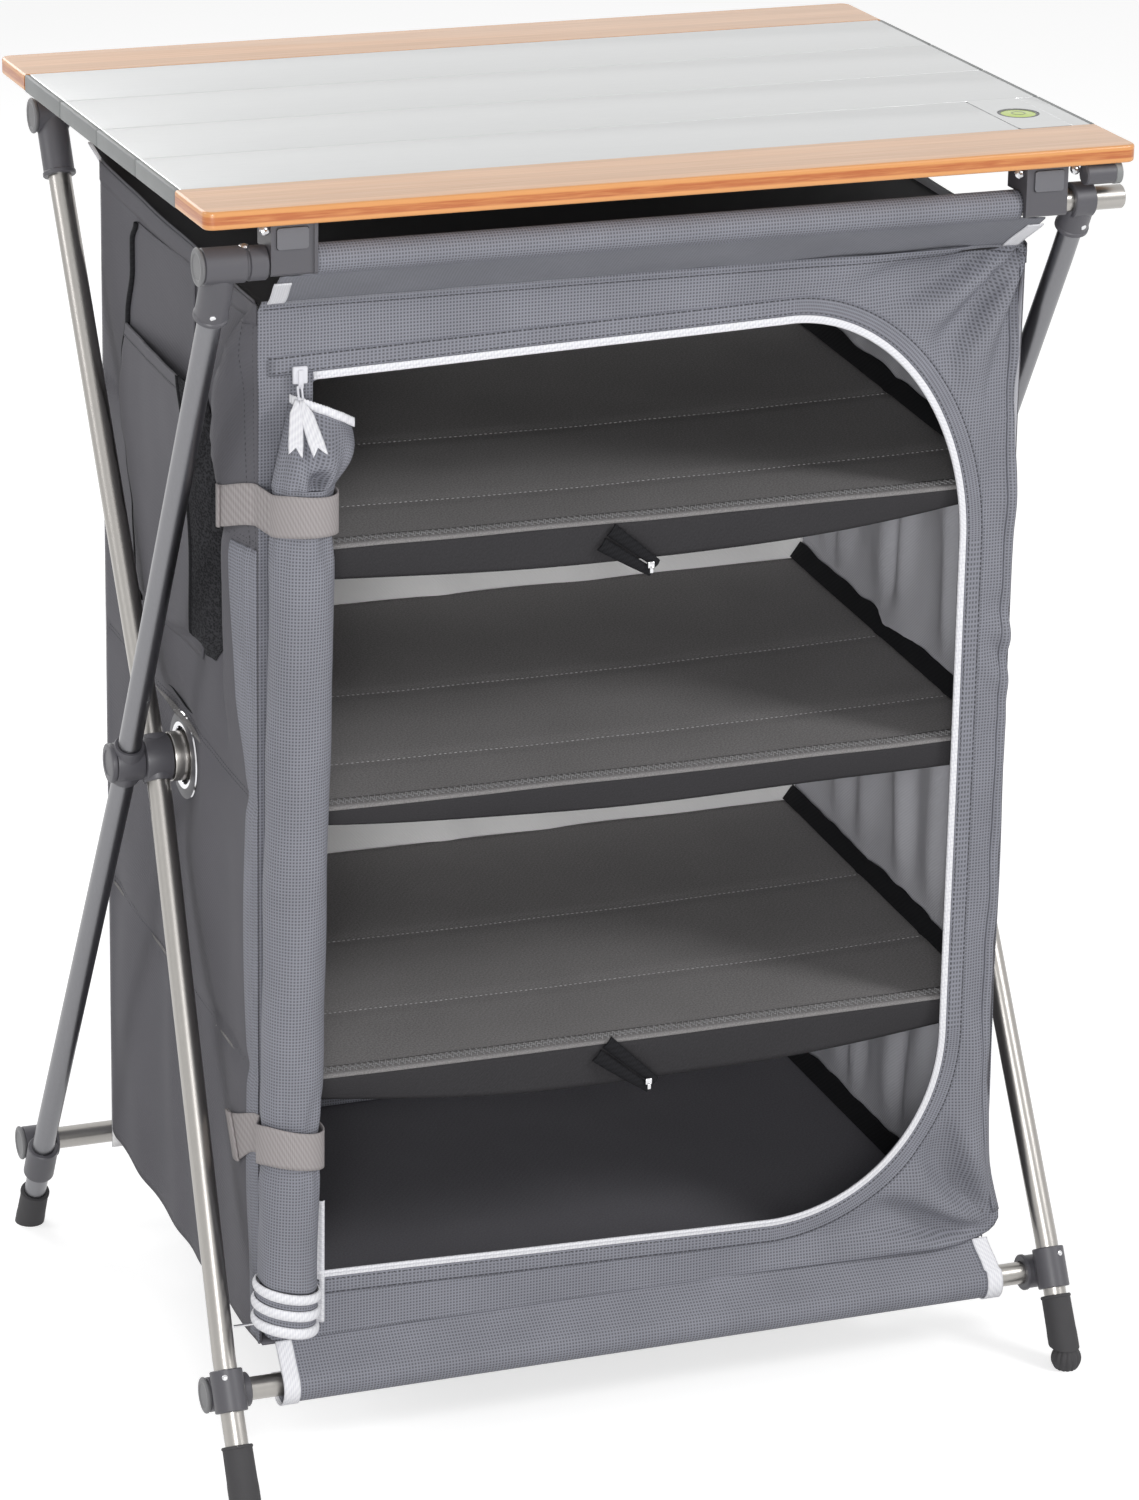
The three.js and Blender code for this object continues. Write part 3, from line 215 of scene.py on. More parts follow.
@dataclass(frozen=True)
class CheckedCloth(Finish):
    """Coated polyester woven with a raised thread each few millimetres, which the eye reads as a fine check.

    The check repeats each 2.8 mm, as on the real cloth.
    """

    line_colour: str = "#898A93"
    gap_colour: str = "#595A60"
    thread_pitch: float = 0.0028
    gloss: float = 0.22
    depth: float = 0.0004

    def dress(self, tree: bpy.types.NodeTree) -> dict:
        """Draws the two thread directions on the cloth's own flat map, and random clouds of painted shade and light
        that stand in for soft folds.

        Args:
            tree: The material's node tree.

        Returns:
            Socket names to what feeds them.
        """
        flat = add_node(tree, "UVMap", uv_map="cloth")
        lines = {"Vector": flat, "Scale": math.pi / (10 * self.thread_pitch)}
        warp, weft = (add_node(tree, "TexWave", lines, bands_direction=way).outputs["Fac"] for way in ("X", "Y"))
        crossing = add_node(tree, "Math", {0: warp, 1: weft}, operation="MULTIPLY")
        either = add_node(tree, "Math", {0: warp, 1: weft}, operation="MAXIMUM")
        # Painted fold shade and light: random clouds of tone, from 0.84 to 1.16 times the colour, stand in for the
        # shading of soft folds.
        shade = add_node(tree, "TexNoise", {"Vector": flat, "Scale": 14.0, "Detail": 3.0})
        ramp = add_node(tree, "ValToRGB", {"Fac": either})
        stops = ramp.color_ramp.elements
        stops[0].position, stops[0].color = 0.15, linear(self.gap_colour)
        stops[1].position, stops[1].color = 0.95, linear(self.line_colour)
        stops.new(0.6).color = linear(self.colour)
        tone = add_node(tree, "MapRange", {"Value": shade, "To Min": 0.84, "To Max": 1.16})
        tinted = add_node(tree, "MixRGB", {"Fac": 1.0, "Color1": ramp, "Color2": tone}, blend_type="MULTIPLY")
        height = add_node(tree, "Math", {0: either, 1: crossing}, operation="ADD")
        bump = add_node(tree, "Bump", {"Height": height, "Strength": 0.45, "Distance": self.depth})
        return {"Base Color": tinted, "Normal": bump, "Specular IOR Level": self.gloss}


@dataclass(frozen=True)
class PlainCloth(Finish):
    """Tight plain-woven nylon: an even colour with a fine twill line and soft clouds of painted shade and light that
    stand in for creases.
    """

    twill_pitch: float = 0.0016
    spread: float = 0.10
    gloss: float = 0.2
    speckle: float = 0.0

    def dress(self, tree: bpy.types.NodeTree) -> dict:
        """Draws the twill, random clouds of painted crease shade and light, and the fibres' speckle on the cloth's
        own flat map.

        Args:
            tree: The material's node tree.

        Returns:
            Socket names to what feeds them.
        """
        flat = add_node(tree, "UVMap", uv_map="cloth")
        lines = {"Vector": flat, "Scale": math.pi / (10 * self.twill_pitch), "Distortion": 0.6}
        twill = add_node(tree, "TexWave", lines, bands_direction="DIAGONAL").outputs["Fac"]
        # Painted crease shade and light: random clouds of tone darken and lighten the colour by up to the spread,
        # standing in for creases.
        painted_crease_shade = add_node(tree, "TexNoise", {"Vector": flat, "Scale": 11.0, "Detail": 4.0})
        grain = add_node(tree, "TexNoise", {"Vector": flat, "Scale": 620.0, "Detail": 2.0})
        tone = add_node(tree, "MapRange", {"Value": painted_crease_shade, "To Min": 1 - self.spread, "To Max": 1 + self.spread})
        speckled = {"From Min": 0.3, "From Max": 0.7, "To Min": 1 - self.speckle, "To Max": 1 + self.speckle}
        dust = add_node(tree, "MapRange", {"Value": grain, **speckled})
        both = add_node(tree, "Math", {0: tone, 1: dust}, operation="MULTIPLY")
        tint = {"Fac": 1.0, "Color1": linear(self.colour), "Color2": both}
        tinted = add_node(tree, "MixRGB", tint, blend_type="MULTIPLY")
        height = add_node(tree, "Math", {0: twill, 1: grain}, operation="ADD")
        bump = add_node(tree, "Bump", {"Height": height, "Strength": 0.35, "Distance": 0.0004})
        return {"Base Color": tinted, "Normal": bump, "Specular IOR Level": self.gloss}


@dataclass(frozen=True)
class NetCloth(Finish):
    """Knitted polyester net: dark holes among lighter knots, drawn solid because cloth lies behind it; the holes'
    dark colour is painted shade for that shaded cloth.
    """

    knot_colour: str = "#38383B"
    mesh_pitch: float = 0.0018

    def dress(self, tree: bpy.types.NodeTree) -> dict:
        """Draws the holes as cells on the cloth's flat map.

        Args:
            tree: The material's node tree.

        Returns:
            Socket names to what feeds them.
        """
        flat = add_node(tree, "UVMap", uv_map="cloth")
        cells = add_node(tree, "TexVoronoi", {"Vector": flat, "Scale": 1 / self.mesh_pitch}).outputs["Distance"]
        ramp = add_node(tree, "ValToRGB", {"Fac": cells})
        stops = ramp.color_ramp.elements
        # The holes take the net's colour, nearly black: painted shade for the shaded cloth behind the net.
        stops[0].position, stops[0].color = 0.25, linear(self.colour)
        stops[1].position, stops[1].color = 0.75, linear(self.knot_colour)
        bump = add_node(tree, "Bump", {"Height": cells, "Strength": 0.6, "Distance": 0.0008})
        return {"Base Color": ramp, "Normal": bump, "Specular IOR Level": 0.1}


@dataclass(frozen=True)
class RibbedTape(Finish):
    """Woven tape or webbing: ribs across its length, one for each weft thread."""

    rib_pitch: float = 0.0022
    shade: str = "#C9C9CE"

    def dress(self, tree: bpy.types.NodeTree) -> dict:
        """Draws the ribs across the tape's flat map.

        Args:
            tree: The material's node tree.

        Returns:
            Socket names to what feeds them.
        """
        flat = add_node(tree, "UVMap", uv_map="cloth")
        across = {"Vector": flat, "Scale": math.pi / (10 * self.rib_pitch)}
        aslant = {"Vector": flat, "Scale": math.pi / (14 * self.rib_pitch)}
        ribs = add_node(tree, "TexWave", across).outputs["Fac"]
        weave = add_node(tree, "TexWave", aslant, bands_direction="DIAGONAL").outputs["Fac"]
        mixed = add_node(tree, "Math", {0: ribs, 1: weave}, operation="ADD")
        half = add_node(tree, "Math", {0: mixed, 1: 0.5}, operation="MULTIPLY")
        tint = {"Fac": half, "Color1": linear(self.shade), "Color2": linear(self.colour)}
        bump = add_node(tree, "Bump", {"Height": half, "Strength": 0.5, "Distance": 0.0005})
        return {"Base Color": add_node(tree, "MixRGB", tint), "Normal": bump, "Specular IOR Level": 0.15}


@dataclass(frozen=True)
class DrawnMetal(Finish):
    """Aluminium or steel, drawn or rolled and then anodised or plated: fine lines along its length.

    The lines are a tenth of a millimetre apart on the real one; they are drawn coarser, to show.
    """

    stretch: tuple[float, float, float] = (60.0, 60.0, 4.0)
    variation: float = 0.02

    def dress(self, tree: bpy.types.NodeTree) -> dict:
        """Draws long streaks in roughness and tone.

        Args:
            tree: The material's node tree.

        Returns:
            Socket names to what feeds them.
        """
        place = add_node(tree, "TexCoord").outputs["Object"]
        drawn = add_node(tree, "Mapping", {"Vector": place, "Scale": self.stretch})
        streaks = add_node(tree, "TexNoise", {"Vector": drawn, "Scale": 9.0, "Detail": 1.0})
        shine = {"To Min": self.roughness - self.variation, "To Max": self.roughness + self.variation}
        rough = add_node(tree, "MapRange", {"Value": streaks, **shine})
        tone = add_node(tree, "MapRange", {"Value": streaks, "To Min": 0.96, "To Max": 1.04})
        tint = {"Fac": 1.0, "Color1": linear(self.colour), "Color2": tone}
        return {"Roughness": rough, "Base Color": add_node(tree, "MixRGB", tint, blend_type="MULTIPLY")}


@dataclass(frozen=True)
class MouldedPlastic(Finish):
    """Injection-moulded glass-filled nylon or soft rubber: a fine spark-eroded grain and a dull shine."""

    grain: float = 0.0005
    strength: float = 0.25

    def dress(self, tree: bpy.types.NodeTree) -> dict:
        """Draws the mould's grain, and a faint change of shine from handling.

        Args:
            tree: The material's node tree.

        Returns:
            Socket names to what feeds them.
        """
        place = add_node(tree, "TexCoord").outputs["Object"]
        skin = add_node(tree, "TexNoise", {"Vector": place, "Scale": 1 / self.grain, "Detail": 2.0})
        wear = add_node(tree, "TexNoise", {"Vector": place, "Scale": 45.0, "Detail": 3.0})
        shine = {"To Min": max(0.05, self.roughness - 0.08), "To Max": self.roughness + 0.08}
        bump = add_node(tree, "Bump", {"Height": skin, "Strength": self.strength, "Distance": 0.0002})
        return {"Roughness": add_node(tree, "MapRange", {"Value": wear, **shine}), "Normal": bump}


@dataclass(frozen=True)
class BambooBoard(Finish):
    """Pressed bamboo strips, sanded and varnished: pale pinkish strips about 19 mm wide with long fibres."""

    strip_width: float = 0.019
    fibre_colour: str = "#D29D70"

    def dress(self, tree: bpy.types.NodeTree) -> dict:
        """Draws strips of slightly different tone, fibres along them and a coat of varnish.

        Args:
            tree: The material's node tree.

        Returns:
            Socket names to what feeds them.
        """
        place = add_node(tree, "TexCoord").outputs["Object"]
        over = add_node(tree, "SeparateXYZ", {"Vector": place}).outputs["Y"]
        counted = add_node(tree, "Math", {0: over, 1: 1 / self.strip_width}, operation="MULTIPLY")
        strip = add_node(tree, "Math", {0: counted}, operation="FLOOR")
        tone = add_node(tree, "TexWhiteNoise", {"W": strip}, noise_dimensions="1D").outputs["Value"]
        along = add_node(tree, "Mapping", {"Vector": place, "Scale": (5.0, 190.0, 190.0)})
        fibres = add_node(tree, "TexNoise", {"Vector": along, "Scale": 2.0, "Detail": 6.0})
        dense = {"From Min": 0.35, "From Max": 0.75, "To Min": 0.0, "To Max": 0.65}
        weight = add_node(tree, "MapRange", {"Value": fibres, **dense})
        fibred = {"Fac": weight, "Color1": linear(self.colour), "Color2": linear(self.fibre_colour)}
        level = add_node(tree, "MapRange", {"Value": tone, "To Min": 0.90, "To Max": 1.03})
        tint = {"Fac": 1.0, "Color1": add_node(tree, "MixRGB", fibred), "Color2": level}
        tinted = add_node(tree, "MixRGB", tint, blend_type="MULTIPLY")
        return {"Base Color": tinted, "Coat Weight": 0.35, "Coat Roughness": 0.18}


@dataclass(frozen=True)
class BambooEdge(Finish):
    """The varnished edge of the same board: three pressed layers, the middle one across and darker."""

    core_colour: str = "#B4622E"
    middle: float = 1.0975
    core_half: float = 0.0026

    def dress(self, tree: bpy.types.NodeTree) -> dict:
        """Draws the layers by height, with short dark pores.

        Args:
            tree: The material's node tree.

        Returns:
            Socket names to what feeds them.
        """
        place = add_node(tree, "TexCoord").outputs["Object"]
        along = add_node(tree, "Mapping", {"Vector": place, "Scale": (14.0, 14.0, 260.0)})
        pores = add_node(tree, "TexNoise", {"Vector": along, "Scale": 3.0, "Detail": 5.0})
        height = add_node(tree, "SeparateXYZ", {"Vector": place}).outputs["Z"]
        away = add_node(tree, "Math", {0: height, 1: self.middle}, operation="SUBTRACT")
        off = add_node(tree, "Math", {0: away}, operation="ABSOLUTE")
        fading = {"From Min": self.core_half, "From Max": self.core_half + 0.0012, "To Min": 1.0, "To Max": 0.12}
        core = add_node(tree, "MapRange", {"Value": off, **fading})
        mottled = {"From Min": 0.3, "From Max": 0.7, "To Min": 0.55, "To Max": 1.1}
        dark = add_node(tree, "MapRange", {"Value": pores, **mottled})
        weight = add_node(tree, "Math", {0: core, 1: dark}, operation="MULTIPLY", use_clamp=True)
        tint = {"Fac": weight, "Color1": linear(self.colour), "Color2": linear(self.core_colour)}
        return {"Base Color": add_node(tree, "MixRGB", tint), "Coat Weight": 0.5, "Coat Roughness": 0.15}


# The outer cloth: blue-grey, with a small check that catches the light; finer and flatter on the strips
CHECKED = CheckedCloth("coated_polyester_checked", "#77787F", 0.6)
STRIP_CLOTH = CheckedCloth(
    "coated_polyester_fine_check", "#7C7D84", 0.6, line_colour="#84858C", gap_colour="#73747A", depth=0.0003
)
# The coating inside: pale and faintly glossy; the back's copy is nearly white, painted light for the light that
# shines through the back and into the cabinet
LINING = PlainCloth("polyurethane_coated_lining", "#BFBFC5", 0.5, spread=0.06, gloss=0.35)
PAINTED_LIGHT_BACK_LINING = PlainCloth("polyurethane_coated_back_lining", "#F4F3F3", 0.55, spread=0.03)
# Plain nylon: dull and dark, with random clouds of painted shade and light that stand in for creases
WALL_NYLON = PlainCloth("plain_woven_nylon", "#5D5C61", 0.72, spread=0.13)
# The black copy is painted shade: a dark sheet for the shade under the plank, used on the roof and the rear top
# strip.
PAINTED_SHADE_NYLON = PlainCloth("plain_woven_nylon_black", "#2C2B2D", 0.8, spread=0.06)
# Felt: no shine at all and a speckle of short fibres, in three copies of one felt: the shelves' copy is lightened,
# painted light for light that hardly reaches into the cabinet, the flaps' copy is darkened, painted shade, and the
# floor's lies between
PAINTED_LIGHT_FELT = PlainCloth("needled_polyester_felt", "#858383", 0.95, spread=0.08, gloss=0.05, speckle=0.24)
PAINTED_SHADE_FLAP_FELT = PlainCloth("needled_polyester_flap_felt", "#3C3B3D", 0.95, spread=0.06, gloss=0.05, speckle=0.12)
FLOOR_FELT = PlainCloth("needled_polyester_floor_felt", "#706F74", 0.95, spread=0.05, gloss=0.05, speckle=0.14)
# Narrow woven goods: ribs that shade the tape across; the net shows as dark dots, with painted shade in its holes
BINDING = RibbedTape("polyester_binding_black", "#222225", 0.8, shade="#161618")
NET = NetCloth("knitted_net", "#1D1D1F", 0.8)
WHITE_TAPE = RibbedTape("zip_tape_white", "#F2F2F5", 0.6, shade="#DCDCE2")
STRAP = RibbedTape("hook_and_loop_webbing", "#A9A4A4", 0.75, rib_pitch=0.0026, shade="#908A8A")
THREAD = Finish("bonded_polyester_thread", "#3A3A3F", 0.6)
PALE_THREAD = Finish("bonded_polyester_thread_pale", "#A9A9AA", 0.6)
# Anodised tube and slat: a satin shine that runs along the metal, warm on the bright tube, cool on the grey one
BRIGHT_TUBE = DrawnMetal("anodised_aluminium_tube", "#A8A5A1", 0.3, 1.0)
GREY_TUBE = DrawnMetal("anodised_aluminium_tube_grey", "#808083", 0.32, 1.0)
SLAT_METAL = DrawnMetal("anodised_aluminium_slat", "#D4D5D5", 0.32, 0.8, stretch=(4.0, 70.0, 60.0))
# Nickel: small sharp glints
CHROME = DrawnMetal("nickel_plated_steel", "#DADADC", 0.16, 1.0, variation=0.02)
# Moulded parts: broad soft highlights over a faint grain; rubber has almost none
SLAT_CAP = MouldedPlastic("moulded_grey_end_cap", "#858787", 0.5)
BLACK_PLASTIC = MouldedPlastic("glass_filled_nylon_black", "#545358", 0.42)
CAP_PLASTIC = MouldedPlastic("moulded_cap_grey", "#6E6E70", 0.45)
BUTTON_PLASTIC = MouldedPlastic("moulded_button_grey", "#6A6A6F", 0.32)
RUBBER = MouldedPlastic("soft_rubber_black", "#3B3A3C", 0.75, grain=0.0008, strength=0.35)
# Varnished bamboo: warm, with a clear coat over the strips and a dark core along the edge
BAMBOO = BambooBoard("varnished_bamboo", "#E9BD98", 0.42)
BAMBOO_SIDE = BambooEdge("varnished_bamboo_edge", "#DD9C5C", 0.4)
# The level's window: clear, glossy and yellow-green from the fluid
LEVEL_FLUID = Finish("acrylic_level_window", "#C3DC55", 0.08, ior=1.49)


# Mesh helpers


def turned(
    bm: bmesh.types.BMesh, profile: Sequence[Point], centre: Sequence[float], axis: Sequence[float], steps: int = 40,
    finish: int = 0
) -> list[bmesh.types.BMFace]:
    """Turns a profile round an axis, as on a lathe.

    Args:
        bm: The mesh to add to.
        profile: Rows of (radius, distance along the axis).
        centre: Where the distance is zero.
        axis: The direction of the axis.
        steps: The number of steps round.
        finish: The material number.

    Returns:
        The new faces.
    """
    before = len(bm.faces)
    direction, start = Vector(axis).normalized(), Vector(centre)
    out = direction.orthogonal().normalized()
    verts = [bm.verts.new(start + direction * along + out * radius) for radius, along in profile]
    edges = [bm.edges.new(pair) for pair in zip(verts, verts[1:])]
    bmesh.ops.spin(
        bm, geom=verts + edges, cent=start, axis=direction, angle=2 * math.pi, steps=steps, use_merge=True,
        use_duplicate=False
    )
    bm.faces.ensure_lookup_table()
    made = list(bm.faces[before:])
    for face in made:
        face.material_index = finish
    return made


def rounded_block(
    bm: bmesh.types.BMesh, low: Sequence[float], high: Sequence[float], radius: float, segments: int = 3,
    finish: int = 0
) -> list[bmesh.types.BMFace]:
    """Adds a block between two corners, with all its edges rounded, and returns its faces.

    Args:
        bm: The mesh to add to.
        low: One corner.
        high: The opposite corner.
        radius: Of the rounding.
        segments: Steps over the rounding.
        finish: The material number.

    Returns:
        The new faces.
    """
    before = len(bm.faces)
    made = bmesh.ops.create_cube(bm, size=1.0)["verts"]
    size = Vector(high) - Vector(low)
    bmesh.ops.scale(bm, vec=size, verts=made)
    bmesh.ops.translate(bm, vec=(Vector(low) + Vector(high)) / 2, verts=made)
    edges = list({edge for vert in made for edge in vert.link_edges})
    bmesh.ops.bevel(bm, geom=edges, offset=radius, segments=segments, profile=0.5, affect="EDGES", material=-1)
    bm.faces.ensure_lookup_table()
    faces = list(bm.faces[before:])
    for face in faces:
        face.material_index = finish
    return faces


def mapped_sheet(
    bm: bmesh.types.BMesh, columns: int, rows: int, place: SheetPlace, flat: Point | Callable[[Vector], Point],
    finish: int = 0
) -> None:
    """Lays a grid of cloth over a shape and gives it a flat map in metres.

    Args:
        bm: The mesh to add to.
        columns: Steps along the first share.
        rows: Steps along the second share.
        place: Gives the place of a pair of shares from 0 to 1.
        flat: The cloth's flat size, or a function from a place to its flat place.
        finish: The material number.
    """
    layer = bm.loops.layers.uv.get("cloth") or bm.loops.layers.uv.new("cloth")
    made = bmesh.ops.create_grid(bm, x_segments=columns, y_segments=rows, size=0.5)["verts"]
    shares = {vert: (vert.co.x + 0.5, vert.co.y + 0.5) for vert in made}
    for vert, (u, v) in shares.items():
        vert.co = place(u, v)
    for face in {face for vert in made for face in vert.link_faces}:
        face.material_index = finish
        for loop in face.loops:
            u, v = shares[loop.vert]
            loop[layer].uv = flat(loop.vert.co) if callable(flat) else (u * flat[0], v * flat[1])


def ringed_sheet(
    bm: bmesh.types.BMesh, columns: int, rows: int, centre: Point, inner: Sequence[Point] | float,
    outer: Sequence[Point], at: SheetPlace, flat: Point | Callable[[Vector], Point]
) -> None:
    """Lays cloth round a hole, in rays from a point in it.

    Args:
        bm: The mesh to add to.
        columns: Steps round the hole.
        rows: Steps from the hole's edge to the outer edge.
        centre: The point in the hole.
        inner: The hole's edge, or its radius.
        outer: The outer edge.
        at: Gives the place of a point of the sheet's plane.
        flat: As for mapped_sheet.
    """
    rays = [2 * math.pi * i / columns for i in range(columns)]
    near = [inner if isinstance(inner, float) else reach(inner, centre, ray) for ray in rays]
    far = [reach(outer, centre, ray) for ray in rays]

    def place(u: float, v: float) -> Vector:
        """Follows the ray of the first share outwards by the second."""
        i = round(u * columns) % columns
        distance = near[i] + (far[i] - near[i]) * v
        return at(centre[0] + distance * math.cos(rays[i]), centre[1] + distance * math.sin(rays[i]))

    mapped_sheet(bm, columns, rows, place, flat)


def turn_towards(bm: bmesh.types.BMesh, way: Sequence[float], start: int = 0) -> None:
    """Turns one open sheet so that its outer side faces a direction.

    Args:
        bm: The mesh that holds the sheet.
        way: The direction that the outer side faces.
        start: The number of the sheet's first face.
    """
    bm.normal_update()
    bm.faces.ensure_lookup_table()
    faces = [bm.faces[i] for i in range(start, len(bm.faces))]
    if sum(face.normal.dot(Vector(way)) * face.calc_area() for face in faces) < 0:
        bmesh.ops.reverse_faces(bm, faces=faces)


def stitches(
    bm: bmesh.types.BMesh, path: Sequence[Vector], pitch: float = 0.0046, length: float = 0.003,
    radius: float = 0.0004, finish: int = 0
) -> None:
    """Sews a row of raised threads along a path.

    Args:
        bm: The mesh to add to.
        path: Points on the cloth.
        pitch: From one stitch to the next.
        length: Of one stitch.
        radius: Of the thread, drawn thicker than the real 0.25 mm so that it shows.
        finish: The material number.
    """
    walked, nearest = 0.0, 0.0
    for a, b in zip(path, path[1:]):
        step = (b - a).length
        while nearest <= walked + step and step > 0:
            spot = a.lerp(b, (nearest - walked) / step)
            turn = (b - a).to_track_quat("X", "Z").to_matrix().to_4x4()
            shape = Matrix.Translation(spot) @ turn @ Matrix.Diagonal((length / 2, radius, radius, 1))
            before = len(bm.faces)
            bmesh.ops.create_icosphere(bm, subdivisions=1, radius=1.0, matrix=shape)
            bm.faces.ensure_lookup_table()
            for face in bm.faces[before:]:
                face.material_index = finish
            nearest += pitch
        walked += step


def finished(
    name: str, bm: bmesh.types.BMesh, finishes: Sequence[Finish], body: str, nodes: Sequence[str] = (),
    slot: str | None = None, sharp: float | None = 38.0, face_out: bool = True
) -> bpy.types.Object:
    """Makes an object of a mesh, dresses it and joins it to the frame.

    Args:
        name: The piece's name.
        bm: Its mesh, which is freed.
        finishes: Its finishes, by material number.
        body: The CAD body that it rides on.
        nodes: The CAD nodes that it stands for.
        slot: Not used.
        sharp: The angle above which an edge stays sharp, or None.
        face_out: Whether the faces are turned outwards.

    Returns:
        The object.
    """
    bmesh.ops.remove_doubles(bm, verts=bm.verts, dist=1e-6)
    if face_out:
        bmesh.ops.recalc_face_normals(bm, faces=bm.faces)
    mesh = bpy.data.meshes.new(name)
    bm.to_mesh(mesh)
    bm.free()
    for finish in finishes:
        mesh.materials.append(finish.build())
    mesh.shade_smooth()
    if sharp is not None:
        mesh.set_sharp_from_angle(angle=math.radians(sharp))
    piece = bpy.data.objects.new(name, mesh)
    bpy.context.scene.collection.objects.link(piece)
    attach(piece, body)
    if nodes:
        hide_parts(*nodes)
    log.info("%s: %d faces", name, len(mesh.polygons))
    return piece


def thicken(piece: bpy.types.Object, thickness: float, offset: float = 0.0, lined: bool = False) -> None:
    """Gives cloth its thickness; where it is lined, the far side takes the next finish.

    Args:
        piece: The cloth.
        thickness: From side to side.
        offset: Where it lies, from -1 inside to 1 outside.
        lined: Whether the far side takes the next finish.
    """
    wall = piece.modifiers.new("thickness", "SOLIDIFY")
    wall.thickness = thickness
    wall.offset = offset
    wall.material_offset = 1 if lined else 0


def sewn(
    name: str, bm: bmesh.types.BMesh, finishes: Sequence[Finish], thickness: float = 0.0, nodes: Sequence[str] = (),
    slot: str | None = None, body: str = "cabinet", lined: bool = False, offset: float = 0.0,
    sharp: float | None = None, keep: float = 0.17
) -> bpy.types.Object:
    """Finishes a piece of the cabinet.

    Args:
        name: The piece's name; bm, finishes, nodes, slot, body and sharp are as for finished.
        thickness: The cloth's thickness, or 0 where it needs none.
        lined: Whether the far side takes the next finish; lined cloth keeps the way that it faces.
        offset: Where the thickness lies, from -1 inside to 1 outside.
        keep: Not used.

    Returns:
        The object.
    """
    piece = finished(name, bm, finishes, body, nodes, slot, sharp, face_out=not lined)
    if thickness:
        thicken(piece, thickness, offset, lined)
    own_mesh(piece)
    return piece


# Table top


